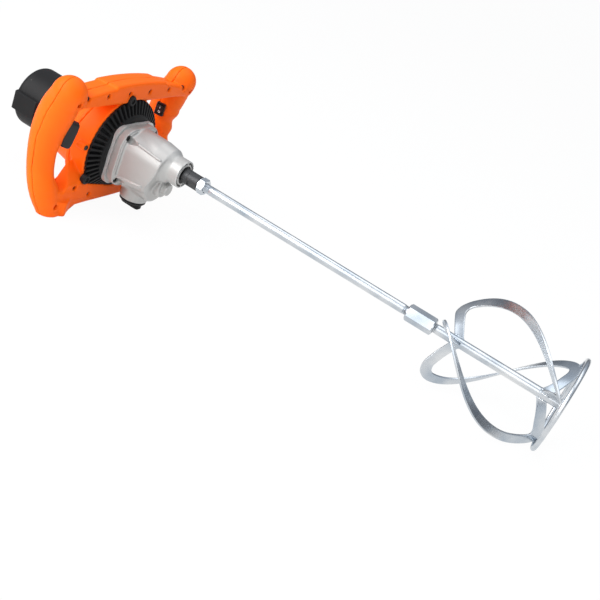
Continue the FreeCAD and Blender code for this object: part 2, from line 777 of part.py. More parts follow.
def motorShield():
    rim = cylinder("shield_rim", "shieldDiameter / 2", "shieldRear", "plateBack", MOTOR)
    hollow = cylinder("shield_hollow", "shieldDiameter / 2 - shieldWall / 2",
                      "shieldBack", "plateBack", MOTOR)
    boss = cylinder("shield_boss", "motorBearingDiameter / 2 + castWall",
                    "motorBearingStart", "shieldRear", MOTOR)
    seat = cylinder("shield_seat", "motorBearingDiameter / 2", "motorBearingStart", "shieldRear", MOTOR)
    passage = cylinder("shield_passage", "motorShaft / 2 + 1", "motorBearingStart", "shieldBack", MOTOR)
    middle = cylinder("shield_middle", "smallJournal / 2 + bushWall", "shieldRear", "shieldBack", MIDDLE)
    blank = fuse("shield_blank", rim, boss)
    piece("motor_end_shield", cut("shield_cast", blank, hollow, seat, passage, middle))
    ring("motor_front_bearing", "motorBearingDiameter / 2", "motorShaft / 2 + runningGap",
         "motorBearingStart", "shieldRear", MOTOR)


def motor():
    rearBearingEnd = "rearBearingStart + rearBearingWidth"
    shaft = cylinder("shaft_main", "motorShaft / 2", rearBearingEnd, "shieldBack - 1", MOTOR)
    tail = cylinder("shaft_tail", "rearJournal / 2", "rearBearingStart", rearBearingEnd, MOTOR)
    nose = cylinder("shaft_nose", "motorShaft / 2 - 3", "shieldBack - 1", "plateBack - gearSpace", MOTOR)
    piece("motor_shaft", fuse("shaft_turned", shaft, tail, nose))
    bore = "motorShaft / 2"
    coreEnd = "armatureStart + armatureLength"
    ring("armature_core", "armatureDiameter / 2", bore, "armatureStart", coreEnd, MOTOR)
    piece("armature_windings", group("winding_pair", [
        tube("rear_winding", "armatureDiameter / 2 - 3", bore,
             "armatureStart - windingEnd", "armatureStart", MOTOR),
        tube("front_winding", "armatureDiameter / 2 - 3", bore, coreEnd, f"{coreEnd} + windingEnd", MOTOR),
    ]))
    ring("commutator", "commutatorDiameter / 2", bore,
         "commutatorStart", "commutatorStart + commutatorLength", MOTOR)
    ring("motor_rear_bearing", "rearBearingDiameter / 2", "rearJournal / 2 + runningGap",
         "rearBearingStart", rearBearingEnd, MOTOR)
    fan()
    stator()
    brushes()


def fan():
    hub = cylinder("fan_hub", "motorShaft / 2 + 5", "fanStart", "fanStart + fanDepth", MOTOR)
    disc = cylinder("fan_disc", "fanDiameter / 2", "fanStart + fanDepth - 2.5", "fanStart + fanDepth", MOTOR)
    vanes = []
    for number in range(int(s.fanBlades)):
        vane = block(f"fan_vane_{number}", ("fanStart", "fanStart + fanDepth"), ("-1", "1"),
                     ("motorShaft / 2 + 4", "fanDiameter / 2 - 1"))
        vane.setExpression("Placement.Base.x", None)
        vane.setExpression("Placement.Base.y", None)
        vane.setExpression("Placement.Base.z", None)
        turn = Rotation(Vector(1, 0, 0), 360 * number / s.fanBlades)
        offset = turn.multVec(Vector(0, -1, s.motorShaft / 2 + 4))
        vane.Placement = Placement(Vector(s.fanStart, offset.y, s.motorZ + offset.z), turn)
        vanes.append(vane)
    bore = cylinder("fan_bore", "motorShaft / 2", "fanStart", "fanStart + fanDepth", MOTOR)
    piece("cooling_fan", cut("fan_moulding", fuse("fan_blank", hub, disc, *vanes), bore))


def stator():
    coreEnd = "armatureStart + armatureLength"
    body = cylinder("stator_body", "statorDiameter / 2", "armatureStart", coreEnd, MOTOR)
    bore = cylinder("stator_bore", "armatureDiameter / 2 + airGap", "armatureStart", coreEnd, MOTOR)
    slots = [
        block(f"stator_slot_{number}", ("armatureStart", coreEnd), (f"{side} * statorDiameter / 2 * 0.78 - 5",
              f"{side} * statorDiameter / 2 * 0.78 + 5"), ("motorZ - 12", "motorZ + 12"))
        for number, side in enumerate((-1, 1))
    ]
    piece("stator_core", cut("stator_stack", body, bore, *slots))
    coils = []
    for number, (start, end) in enumerate((("armatureStart - fieldCoilDepth", "armatureStart"),
                                           (coreEnd, f"{coreEnd} + fieldCoilDepth"))):
        outer = cylinder(f"coil_outer_{number}", "statorDiameter / 2 - 5", start, end, MOTOR)
        inner = cylinder(f"coil_inner_{number}", "armatureDiameter / 2 + 4", start, end, MOTOR)
        coils.append(cut(f"coil_{number}", outer, inner))
    piece("field_coils", group("coil_pair", coils))
    sleeve = tube("sleeve", "statorDiameter / 2 + sleeveWall", "statorDiameter / 2",
                  "capFront - 10", "armatureStart + armatureLength + 2", MOTOR)
    holes = [cylinder(f"sleeve_hole_{number}", "capScrew / 2", "capFront - 10", "capFront + 6", at)
             for number, at in capScrewSpots()]
    piece("motor_sleeve", cut("sleeve_drilled", sleeve, *holes))


def brushes():
    middle = "commutatorStart + commutatorLength / 2"
    face = "commutatorDiameter / 2 + 0.3"
    holders = []
    carbons = []
    springs = []
    for number, side in enumerate((-1, 1)):
        def box(name, spread, near, far):
            ends = (f"{side} * ({near})", f"{side} * ({far})")
            return block(
                f"{name}_{number}",
                (f"{middle} - brushWidth / 2 - {spread}", f"{middle} + brushWidth / 2 + {spread}"),
                ends if side > 0 else ends[::-1],
                (f"motorZ - brushHeight / 2 - {spread}", f"motorZ + brushHeight / 2 + {spread}"),
            )
        reach = f"{face} + brushLength"
        wall = "capDiameter / 2 - capWall - 1.5"
        tube = box("holder_tube", "brushWall", f"{face} + 2", wall)
        hollow = box("holder_hollow", "0.1", f"{face} + 2", f"{wall} - 1")
        holders.append(cut(f"holder_{number}", tube, hollow))
        carbons.append(box("carbon", "0", face, reach))
        spring = cylinder(f"brush_spring_{number}", "2.5", "0", f"{wall} - 1 - ({reach})", MOTOR)
        spring.Placement = Placement(Vector(), Rotation(Vector(1, 0, 0), -90 * side))
        bind(spring, {"Placement.Base.x": middle, "Placement.Base.y": f"{side} * ({reach})"})
        springs.append(spring)
    piece("brush_holders", group("holder_pair", holders))
    piece("carbon_brushes", group("carbon_pair", carbons))
    piece("brush_springs", group("spring_pair", springs))


def capScrewSpots():
    radius = s.statorDiameter / 2 + s.sleeveWall / 2
    for number in range(4):
        angle = math.radians(45 + 90 * number)
        yield number, (str(radius * math.cos(angle)), str(s.motorZ + radius * math.sin(angle)))


def motorCap():
    domeEnd = "capBack + capRound"
    body = cylinder("cap_body", "capDiameter / 2", domeEnd, "capFront", MOTOR)
    dome = cone("cap_dome", "capDiameter / 2 - capRound", "capDiameter / 2", "capBack", domeEnd, MOTOR)
    inside = cylinder("cap_inside", "capDiameter / 2 - capWall", domeEnd, "capFront", MOTOR)
    crown = cone("cap_crown", "capDiameter / 2 - capRound - 1", "capDiameter / 2 - capWall",
                 "capBack + capWall", domeEnd, MOTOR)
    covers = [
        block(f"brush_cover_{number}", ("capBack + 5", "capFront - 14"), ends, (
            "motorZ - brushCoverWidth / 2", "motorZ + brushCoverWidth / 2"))
        for number, ends in enumerate((
            ("-capDiameter / 2 - brushCoverRise", "-capDiameter / 2 + 8"),
            ("capDiameter / 2 - 8", "capDiameter / 2 + brushCoverRise"),
        ))
    ]
    boss = cylinder("cap_boss", "rearBearingDiameter / 2 + capWall", "capBack + capWall / 2",
                    "rearBearingStart + rearBearingWidth", MOTOR)
    seat = cylinder("cap_seat", "rearBearingDiameter / 2", "rearBearingStart",
                    "rearBearingStart + rearBearingWidth", MOTOR)
    shell = cut("cap_shell", fuse("cap_outside", body, dome, *covers), inside, crown)
    screwHoles = []
    screws = []
    pillars = []
    for number, at in capScrewSpots():
        seatFace = f"{domeEnd} + 5"
        pillars.append(cylinder(f"cap_pillar_{number}", "capScrew * 1.1", domeEnd, "capFront - 10", at))
        screwHoles.append(cylinder(f"cap_hole_{number}", "capScrew / 2", "capBack", "capFront + 6", at))
        screwHoles.append(cylinder(f"cap_head_hole_{number}", "capScrew * 0.9 + 0.3",
                                   "capBack", seatFace, at))
        screws.append(fuse(
            f"cap_screw_{number}",
            cylinder(f"cap_screw_head_{number}", "capScrew * 0.9", f"{domeEnd} + 2", seatFace, at),
            cylinder(f"cap_screw_shank_{number}", "capScrew / 2", seatFace, "capFront + 6", at),
        ))
    whole = fuse("cap_whole_blank", shell, boss, *pillars)
    piece("motor_cap", cut("cap_moulding", whole, seat, *screwHoles))
    piece("cap_screws", group("cap_screw_set", screws))


def lobeSpots():
    for number, degrees in enumerate((102, 209, 331)):
        angle = math.radians(degrees)
        reach = s.lobeCircle / 2
        yield number, (str(reach * math.cos(angle)), str(s.motorZ + reach * math.sin(angle)))


def ventFloor(name, drop):
    # Everything below the two planes that the vent ring stops at, which meet under the motor in a blunt V.
    lean = math.radians(s.ventFloorLean)
    aside = s.ventDiameter
    low = s.motorZ - 2 * aside
    middle = s.motorZ - drop / math.cos(lean)
    end = middle + aside * math.tan(lean)
    corners = [(0, middle), (aside, end), (aside, low), (-aside, low), (-aside, end)]
    outline = [Vector(s.frameFront, y, z) for y, z in corners]
    face = Part.Face(Part.makePolygon(outline + outline[:1]))
    return shaped(name, face.extrude(Vector(2 * s.ventDepth, 0, 0)))


def ventHousing():
    front = "frameFront + ventDepth"
    dome = cone("vent_dome", "ventDiameter / 2", "ventFrontDiameter / 2", "frameFront", front, MOTOR)
    inside = cone("vent_inside", "ventDiameter / 2 - ventWall", "ventFrontDiameter / 2 - 2 * ventWall",
                  "frameFront", f"{front} - ventWall", MOTOR)
    collar = cylinder("vent_collar", "shieldDiameter / 2 + ventWall", "shieldRear - ventWall", front, MOTOR)
    mouth = cylinder("vent_mouth", "shieldDiameter / 2", "shieldRear", front, MOTOR)
    throat = cylinder("vent_throat", "shieldDiameter / 2 - 3", "shieldRear - ventWall", "shieldRear", MOTOR)
    lobes = [cylinder(f"vent_lobe_{number}", "lobeDiameter / 2", "frameFront", "frameFront + 6", at)
             for number, at in lobeSpots()]
    lobeHoles = [cylinder(f"vent_lobe_hole_{number}", "shellScrew / 2 + 0.15",
                          "frameFront", "frameFront + 6", at)
                 for number, at in lobeSpots()]
    headRooms = [cylinder(f"vent_lobe_room_{number}", "shellScrew", "frameFront + 4", "frameFront + 20", at)
                 for number, at in lobeSpots()]
    studs = [cylinder(f"vent_stud_{number}", "flangeScrew", "flangeFront - flangeScrewLength - 2", front, (
             f"{y} * flangeScrewSpan / 2", f"motorZ + {z} * flangeScrewSpan / 2"))
             for number, (y, z) in enumerate(((-1, -1), (-1, 1), (1, -1), (1, 1)))]
    slots = shaped("vent_slots", slotRing())
    hollow = cut("vent_shell", fuse("vent_outside", dome, *lobes), inside)
    solid = fuse("vent_solid", hollow, collar, *studs)
    floor = ventFloor("vent_floor", s.ventFloorDrop)
    piece("vent_housing", cut("vent_moulding", solid, mouth, throat, slots, floor, *lobeHoles, *headRooms,
                              *flangeHoles("vent_hole", "0")))
    screws = []
    for number, at in lobeSpots():
        screws.append(fuse(
            f"vent_screw_{number}",
            cylinder(f"vent_screw_head_{number}", "shellScrew * 0.9", "frameFront + 4", "frameFront + 7", at),
            cylinder(f"vent_screw_shank_{number}", "shellScrew / 2",
                     "frameFront - lobeScrewDepth", "frameFront + 4", at),
        ))
    piece("vent_screws", group("vent_screw_set", screws))


def slotRing():
    slots = []
    outer = s.ventDiameter / 2 - 2.5
    for number in range(int(s.ventSlots)):
        slot = Part.makeBox(s.ventDepth + 2, s.ventSlotWidth, s.ventSlotLength)
        corner = Vector(s.frameFront + 0.8, -s.ventSlotWidth / 2, outer - s.ventSlotLength)
        slot.Placement = Placement(corner, Rotation())
        angle = 360 * (number + 0.5) / s.ventSlots
        turn = Placement(Vector(0, 0, s.motorZ), Rotation(Vector(1, 0, 0), angle))
        slots.append(slot.transformGeometry(turn.toMatrix()))
    return Part.makeCompound(slots)


# Grip sections down one side: height, depth, distance from the middle and the two half widths.
GRIP = (
    (s.knobHeight + 4.0, -131.0, 135.0, 21.5, 21.5),
    (45.0, -142.0, 136.0, 25.7, 22.5),
    (5.0, -148.0, 137.0, 23.0, 21.0),
    (-40.0, -142.5, 137.0, 20.5, 20.0),
    (-75.0, -130.0, 134.0, 19.5, 20.0),
    (-s.footDrop - 6.0, -111.5, 125.0, 17.0, 18.0),
)
# Shell screws: distance from the middle and height.
SCREWS = (
    (24.4, s.topBarUnder + 15.5),
    (73.9, s.topBarUnder + 15.5),
    (116.5, s.topBarUnder + 14.0),
    (136.0, s.knobHeight - 9.0),
    (52.0, s.archTop + 14.5),
    (90.0, s.lowBarTop - 10.0),
    (127.0, 16.0 - s.footDrop),
    (s.hubDiameter / 2 + s.earMargin, -5.0),
)


def partingDepth(height):
    for (high, highX, *_), (low, lowX, *_) in zip(GRIP, GRIP[1:]):
        if low <= height <= high:
            return lowX + (highX - lowX) * (height - low) / (high - low)
    return GRIP[0][1]


def grip(name, side, wall):
    rings = []
    for number, (height, depth, aside, deepHalf, wideHalf) in enumerate(GRIP):
        section = doc.addObject("Part::Ellipse", f"{name}_section_{number}")
        section.MajorRadius = max(deepHalf, wideHalf) - wall + 0.001
        section.MinorRadius = min(deepHalf, wideHalf) - wall
        turn = Rotation(Vector(0, 0, 1), 0 if deepHalf >= wideHalf else 90)
        section.Placement = Placement(Vector(depth, side * aside, height), turn)
        rings.append(section)
    limb = doc.addObject("Part::Loft", name + "_limb")
    limb.Sections = rings
    limb.Solid = True
    limb.Ruled = False
    ball = doc.addObject("Part::Sphere", name + "_ball")
    ball.Placement = Placement(Vector(GRIP[0][1], side * GRIP[0][2], 0), Rotation())
    bind(ball, {"Radius": f"knobRadius - {wall}", "Placement.Base.z": "knobHeight"})
    return [limb, ball]


def alongY(edge):
    box = edge.BoundBox
    return box.YLength > s.gripSpan / 2


def frameBody(name, wall):
    wide = "gripSpan / 2"
    parts = grip(name + "_left_grip", -1, wall) + grip(name + "_right_grip", 1, wall)
    barBack = "barFront - topBarDepth"
    slab = block(name + "_top_slab", (f"{barBack} + {wall}", f"barFront - {wall}"), (f"-{wide}", wide),
                 (f"topBarUnder + {wall}", "topBarCrown + 20"))
    crownRadius = ((s.gripSpan / 2) ** 2 + s.topBarFall**2) / (2 * s.topBarFall)
    crown = cylinder(name + "_crown", f"{crownRadius} - {wall}", barBack, "barFront",
                     ("0", f"topBarCrown - {crownRadius}"))
    topBar = common(name + "_top_bar", slab, crown)
    parts.append(rounded(name + "_top_round", topBar, s.barRound - wall, alongY))
    lowBack = "barFront - lowBarDepth"
    lowSlab = block(name + "_low_slab", (f"{lowBack} + {wall}", f"barFront - {wall}"), (f"-{wide}", wide),
                    ("-footDrop - 6", f"lowBarTop - {wall}"))
    archRadius = ((s.archSpan / 2) ** 2 + s.archFall**2) / (2 * s.archFall)
    arch = cylinder(name + "_arch", f"{archRadius} + {wall}", lowBack, "barFront",
                    ("0", f"archTop - {archRadius}"))
    lowBar = cut(name + "_low_bar", lowSlab, arch)
    parts.append(rounded(name + "_low_round", lowBar, s.barRound - wall, alongY))
    parts.append(cylinder(name + "_hub", f"hubDiameter / 2 - {wall}", f"frameFront - hubDepth + {wall}",
                          "frameFront", MOTOR))
    parts.append(cone(name + "_neck", f"neckBack / 2 - {wall}", f"neckFront / 2 - {wall}", "capFront",
                      f"frameFront - hubDepth + {wall}", MOTOR))
    return parts


def partingTool():
    # Everything in front of the surface that follows the middle of the grips.
    reach = s.gripSpan
    line = [Vector(GRIP[0][1], 0, reach)]
    line += [Vector(depth, 0, height) for height, depth, *_ in GRIP]
    line += [Vector(GRIP[-1][1], 0, -reach), Vector(reach, 0, -reach), Vector(reach, 0, reach)]
    face = Part.Face(Part.makePolygon(line + line[:1]))
    face.translate(Vector(0, -reach, 0))
    return shaped("parting_tool", face.extrude(Vector(0, 2 * reach, 0)))


def floorTool():
    # Everything below the plane that the feet and the ring rest on.
    reach = s.gripSpan
    slab = Part.makeBox(2 * reach, 2 * reach, reach / 4, Vector(-reach, -reach, -reach / 4))
    slab.Placement = Placement(Vector(s.footFront, 0, -s.footDrop), LYING.Rotation.inverted())
    return shaped("floor_tool", slab)


def frame():
    outside = fuse("frame_outside", *frameBody("outer", 0))
    inside = fuse("frame_inside", *frameBody("inner", s.frameWall))
    spots = [(side * y, z) for y, z in SCREWS for side in (-1, 1)]
    earSpot = SCREWS[-1]
    columns = []
    bosses = []
    holes = []
    screws = []
    for number, (y, z) in enumerate(spots):
        at = (str(y), str(z))
        tip = partingDepth(z) - 9
        seat = "frameFront - 1"
        columns.append(cylinder(f"frame_boss_{number}", "bossDiameter / 2", "frameFront - hubDepth - 8",
                                "barFront + 8", at))
        if (abs(y), z) == earSpot:
            bosses.append(cylinder(f"frame_ear_{number}", "bossDiameter / 2 + 1.5", f"{tip - 2}",
                                   "frameFront", at))
        holes.append(cylinder(f"frame_hole_{number}", "shellScrew / 2", f"{tip}", "barFront + 20", at))
        holes.append(cylinder(f"frame_head_{number}", "shellScrew * 0.9 + 0.3", seat, "barFront + 20", at))
        screws.append(fuse(
            f"frame_screw_{number}",
            cylinder(f"frame_screw_head_{number}", "shellScrew * 0.9", seat, f"{seat} + 3", at),
            cylinder(f"frame_screw_shank_{number}", "shellScrew / 2", f"{tip}", seat, at),
        ))
    for number, at in lobeSpots():
        bosses.append(cylinder(f"lobe_boss_{number}", "bossDiameter / 2",
                               "frameFront - lobeBossDepth", "frameFront", at))
        holes.append(cylinder(f"lobe_hole_{number}", "shellScrew / 2",
                              "frameFront - lobeScrewDepth", "frameFront", at))
        holes.append(cylinder(f"lobe_room_{number}", "lobeDiameter / 2 + looseGap", "frameFront",
                              "barFront + 9", at))
    ventRoom = cylinder("vent_room", "ventDiameter / 2 + looseGap", "frameFront", "barFront + 9", MOTOR)
    holes.append(cut("vent_seat", ventRoom, ventFloor("vent_seat_floor", s.ventFloorDrop + s.looseGap)))
    ribs = []
    for number, start in enumerate(("capFront + 8", "armatureStart + armatureLength - 8")):
        share = f"(({start}) - capFront) / (frameFront - hubDepth - capFront)"
        radius = f"neckBack / 2 - 1 + (neckFront - neckBack) / 2 * {share}"
        ribs.append(cylinder(f"sleeve_rib_{number}", radius, start, f"{start} + 4", MOTOR))
    holes.append(cylinder("sleeve_room", "statorDiameter / 2 + sleeveWall", "capFront",
                          "frameFront - hubDepth", MOTOR))
    shell = cut("frame_shell", outside, cut("frame_hollow", inside, *columns))
    whole = fuse("frame_whole", shell, *bosses, *ribs)
    floor = floorTool()
    holes += [floor, *gripOpenings()]
    moulded = cut("frame_moulded", whole, *holes)
    parting = partingTool()
    piece("frame_front", common("frame_front_half", moulded, parting))
    piece("frame_rear", cut("frame_rear_half", moulded, parting))
    piece("frame_screws", group("frame_screw_set", screws))


def turnedBlock(name, centre, turn, x, y, z):
    # A box given by its own three ranges about a centre, turned about the vertical.
    low = Vector(x[0], y[0], z[0])
    solid = Part.makeBox(x[1] - x[0], y[1] - y[0], z[1] - z[0], low)
    solid.Placement = Placement(centre, Rotation(Vector(0, 0, 1), turn))
    return shaped(name, solid)


def triggerSpot():
    depth = partingDepth(s.triggerHeight)
    return Vector(depth, -GRIP[2][2], s.triggerHeight), s.triggerTurn


def rockerSpot():
    depth = partingDepth(s.rockerHeight)
    return Vector(depth, GRIP[2][2], s.rockerHeight), -90 + s.rockerTurn


def gripOpenings():
    centre, turn = triggerSpot()
    gap = s.looseGap
    half = s.triggerWidth / 2 + gap
    tall = s.triggerLength / 2 + gap
    window = turnedBlock("trigger_window", centre, turn, (10, 40), (-half, half), (-tall, tall))
    centre, turn = rockerSpot()
    wide = s.rockerWidth / 2
    long = s.rockerLength / 2
    hole = turnedBlock("rocker_window", centre, turn, (8, 40), (-wide + 1, wide - 1), (-long + 1, long - 1))
    seat = turnedBlock("rocker_seat", centre, turn, (GRIP[2][3], 40), (-wide - gap, wide + gap),
                       (-long - gap, long + gap))
    entry = cylinder("gland_entry", "glandDiameter / 2", "glandFront - glandLength", "glandFront",
                     ("glandAside", "glandHeight"))
    return [window, hole, seat, entry]


def controls():
    centre, turn = triggerSpot()
    reach = GRIP[2][3] + s.triggerRise
    half = s.triggerWidth / 2
    tall = s.triggerLength / 2
    back = reach - 17
    pad = turnedBlock("trigger_pad", centre, turn, (back, reach), (-half, half), (-tall, tall))
    well = Part.makeCylinder(3.4, 10, Vector(back, 0, 0), Vector(1, 0, 0))
    well.Placement = Placement(centre, Rotation(Vector(0, 0, 1), turn))
    piece("trigger", cut("trigger_moulding", pad, shaped("trigger_well", well)))
    face = back - s.triggerTravel - s.looseGap
    piece("trigger_switch", turnedBlock("switch_box", centre, turn, (-11, face), (-8, 8), (-18, 18)))
    coil = Part.makeCylinder(3, back + 10 - s.triggerTravel - face, Vector(face, 0, 0), Vector(1, 0, 0))
    coil.Placement = Placement(centre, Rotation(Vector(0, 0, 1), turn))
    piece("trigger_spring", shaped("spring_coil", coil))

    centre, turn = rockerSpot()
    wide = s.rockerWidth / 2
    long = s.rockerLength / 2
    top = GRIP[2][3] + 3
    lip = turnedBlock("rocker_lip", centre, turn, (top - 3, top), (-wide, wide), (-long, long))
    box = turnedBlock("rocker_box", centre, turn, (top - 14, top - 3), (-wide + 1, wide - 1),
                      (-long + 1, long - 1))
    well = turnedBlock("rocker_well", centre, turn, (top - 12, top), (-wide + 2.2, wide - 2.2),
                       (-long + 2, long - 2))
    piece("rocker_bezel", cut("bezel_moulding", fuse("bezel_blank", lip, box), well))
    key = Part.makeBox(7, s.rockerWidth - 4.8, s.rockerLength - 6.2,
                       Vector(-5, -wide + 2.4, -long + 3.1))
    tilt = Rotation(Vector(0, 1, 0), s.rockerTilt)
    pivot = Vector(top - 3, 0, 0)
    key.Placement = Placement(centre, Rotation(Vector(0, 0, 1), turn)) * Placement(pivot, tilt)
    piece("rocker_button", shaped("rocker_key", key))

    height = -30
    middle = Vector(partingDepth(height), GRIP[3][2], height)
    module = turnedBlock("module_box", middle, 0, (-9, 9), (-9, 9), (-16, 16))
    piece("speed_module", module)
    ring("cord_gland", "glandDiameter / 2", "cordDiameter / 2", "glandFront - glandLength", "glandFront",
         ("glandAside", "glandHeight"))


doc.recompute()
paddle()
spindle()
gears()
gearShafts()
gearKnob()
gearHousing()
flangeScrews()
gearPlate()
motorShield()
motor()
motorCap()
ventHousing()
frame()
controls()
doc.recompute()

os.makedirs("parts", exist_ok=True)
for feature in doc.Objects:
    if {"Invalid", "Error"} & set(feature.State):
        raise RuntimeError(f"{feature.Label} did not compute: {feature.State}")
for feature in pieces:
    shape = feature.Shape
    if shape.isNull() or not shape.isValid():
        raise RuntimeError(f"{feature.Label} has no valid shape")
    shape.exportStep(f"parts/{feature.Label}.step")
    print(feature.Label, len(shape.Solids), "solids", round(shape.Volume), "mm3")
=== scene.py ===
import json
import math

import bpy
import numpy as np
from mathutils import Matrix


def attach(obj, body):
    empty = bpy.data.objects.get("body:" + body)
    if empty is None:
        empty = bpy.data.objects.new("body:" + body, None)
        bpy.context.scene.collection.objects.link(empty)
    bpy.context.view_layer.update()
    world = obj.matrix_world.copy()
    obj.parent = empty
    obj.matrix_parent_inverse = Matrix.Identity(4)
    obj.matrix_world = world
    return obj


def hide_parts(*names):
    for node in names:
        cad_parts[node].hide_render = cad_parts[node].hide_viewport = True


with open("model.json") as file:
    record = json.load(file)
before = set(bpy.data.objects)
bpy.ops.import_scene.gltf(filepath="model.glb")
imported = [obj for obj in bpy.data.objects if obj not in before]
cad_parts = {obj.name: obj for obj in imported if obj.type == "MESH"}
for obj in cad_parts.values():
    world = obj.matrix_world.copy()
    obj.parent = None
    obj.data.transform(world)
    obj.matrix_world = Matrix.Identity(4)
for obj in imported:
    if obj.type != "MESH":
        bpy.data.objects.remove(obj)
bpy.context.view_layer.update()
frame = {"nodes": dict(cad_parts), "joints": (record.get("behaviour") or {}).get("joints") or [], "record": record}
nodes = frame["nodes"]

# Sizes below are millimetres in the drill's own axes: x along the spindle from the nose face to the paddle,
# y to the right grip, z up. The spindle joint says how these axes lie in the shared frame.
spin = next(joint for joint in frame["joints"] if joint["name"] == "spindle_spin")
noseCentre = np.array(spin["pos_m"]) * 1000
forward = np.array(spin["axis"])
sideways = np.array([0.0, 1.0, 0.0])
axes = np.stack([forward, sideways, np.cross(forward, sideways)], axis=1)


def inFrame(points):  # turned and shifted to the shared frame, then millimetres to metres
    return (noseCentre + np.asarray(points, dtype=float) @ axes.T) * 0.001


def heightOverFloor(x, z):
    return noseCentre[2] + axes[2, 0] * x + axes[2, 2] * z


def meshPiece(name, points, faces, look, sharpAngle=35.0):
    faces = [np.asarray(group, dtype=np.int32) for group in faces]
    corners = np.concatenate([group.ravel() for group in faces])
    sizes = np.concatenate([np.full(len(group), group.shape[1]) for group in faces])
    starts = np.concatenate([[0], np.cumsum(sizes)[:-1]]).astype(np.int32)
    mesh = bpy.data.meshes.new(name)
    mesh.vertices.add(len(points))
    mesh.vertices.foreach_set("co", inFrame(points).astype(np.float32).ravel())
    mesh.loops.add(len(corners))
    mesh.loops.foreach_set("vertex_index", corners)
    mesh.polygons.add(len(sizes))
    mesh.polygons.foreach_set("loop_start", starts)
    mesh.update(calc_edges=True)
    mesh.validate()
    mesh.shade_smooth()
    if sharpAngle:
        mesh.set_sharp_from_angle(angle=math.radians(sharpAngle))
    mesh.materials.append(look)
    made = bpy.data.objects.new(name, mesh)
    bpy.context.scene.collection.objects.link(made)
    return made


def gridFaces(rows, columns, wrapRows=False):
    # Quads of a grid of rows by columns. Each row is closed on itself, and the last row may join the first.
    row, column = np.meshgrid(np.arange(rows - (not wrapRows)), np.arange(columns), indexing="ij")
    nextRow = (row + 1) % rows
    nextColumn = (column + 1) % columns
    quads = np.stack([
        row * columns + column, row * columns + nextColumn, nextRow * columns + nextColumn, nextRow * columns + column,
    ], axis=-1)
    return quads.reshape(-1, 4)


def cappedGrid(rows, columns):  # a tube's quads, with its first and last ring closed by flat faces
    ring = np.arange(columns)[None, :]
    return [gridFaces(rows, columns), ring[:, ::-1], ring + (rows - 1) * columns]


def roundTurn(steps):  # even angles once round
    return np.arange(steps) * 2 * math.pi / steps


def away(a, b):  # distance across two axes
    return np.sqrt(a**2 + b**2)


def slab(x, start, end):  # signed distance to what lies between two planes
    return np.maximum(start - x, x - end)


def ramp(value, width):  # from 0 to 1 over a width
    return np.clip(value / width, 0, 1)


def polarShell(profileX, radius, angles, axis=(0.0, 0.0)):
    # Point = axis + (x, r cos a, r sin a): stations in rows, angles in columns, the two ends closed by flat caps.
    x = np.broadcast_to(np.asarray(profileX, dtype=float)[:, None], radius.shape)
    points = np.stack([x, axis[0] + radius * np.cos(angles), axis[1] + radius * np.sin(angles)], axis=-1)
    return points.reshape(-1, 3), cappedGrid(*radius.shape)


def turned(profile, steps=96, axis=(0.0, 0.0)):
    # A profile of (x, radius) pairs spun round an axis along x.
    profile = np.asarray(profile, dtype=float)
    radius = np.repeat(profile[:, 1:2], steps, axis=1)
    return polarShell(profile[:, 0], radius, roundTurn(steps)[None, :], axis)


def joined(*shells):
    points = []
    faces = []
    count = 0
    for shellPoints, shellFaces in shells:
        points.append(shellPoints)
        faces.extend(group + count for group in shellFaces)
        count += len(shellPoints)
    return np.concatenate(points), faces


def softBlock(half, power=0.3, rows=28, columns=56):
    # Superellipsoid: the sines and cosines of a ball's two angles, drawn towards one by a power, times the half
    # sizes. The two poles are small flat faces.
    rise = np.linspace(-1.565, 1.565, rows)[:, None]
    turn = roundTurn(columns)[None, :]

    def drawnOut(value):
        return np.sign(value) * np.abs(value) ** power

    level = drawnOut(np.cos(rise))
    points = np.stack([half[0] * level * drawnOut(np.cos(turn)), half[1] * level * drawnOut(np.sin(turn)),
                       np.broadcast_to(half[2] * drawnOut(np.sin(rise)), (rows, columns))], axis=-1)
    return points.reshape(-1, 3), cappedGrid(rows, columns)


def borderRing(halfWide, halfTall, corner, profile):
    # A closed profile of (outward, forward) pairs carried round a rounded rectangle.
    bend = np.linspace(0, math.pi / 2, 8)
    line = []
    for number, (signY, signZ) in enumerate(((1, 1), (-1, 1), (-1, -1), (1, -1))):
        angle = bend + number * math.pi / 2
        line.append(np.stack([signY * (halfWide - corner) + corner * np.cos(angle),
                              signZ * (halfTall - corner) + corner * np.sin(angle),
                              np.cos(angle), np.sin(angle)], axis=1))
    line = np.concatenate(line)
    profile = np.asarray(profile, dtype=float)
    across = line[:, None, :2] + line[:, None, 2:] * profile[None, :, :1]
    ahead = np.broadcast_to(profile[None, :, 1:], (*across.shape[:2], 1))
    points = np.concatenate([ahead, across], axis=-1)
    return points.reshape(-1, 3), [gridFaces(len(line), len(profile), wrapRows=True)]


def swung(shell, centre, degrees, tilt=0.0):
    # A shell made about its own middle, tipped about its second axis, turned about the vertical and set down.
    points, faces = shell
    t, a = math.radians(tilt), math.radians(degrees)
    tip = np.array([[math.cos(t), 0, math.sin(t)], [0, 1, 0], [-math.sin(t), 0, math.cos(t)]])
    turn = np.array([[math.cos(a), -math.sin(a), 0], [math.sin(a), math.cos(a), 0], [0, 0, 1]])
    return np.asarray(centre) + points @ (turn @ tip).T, faces


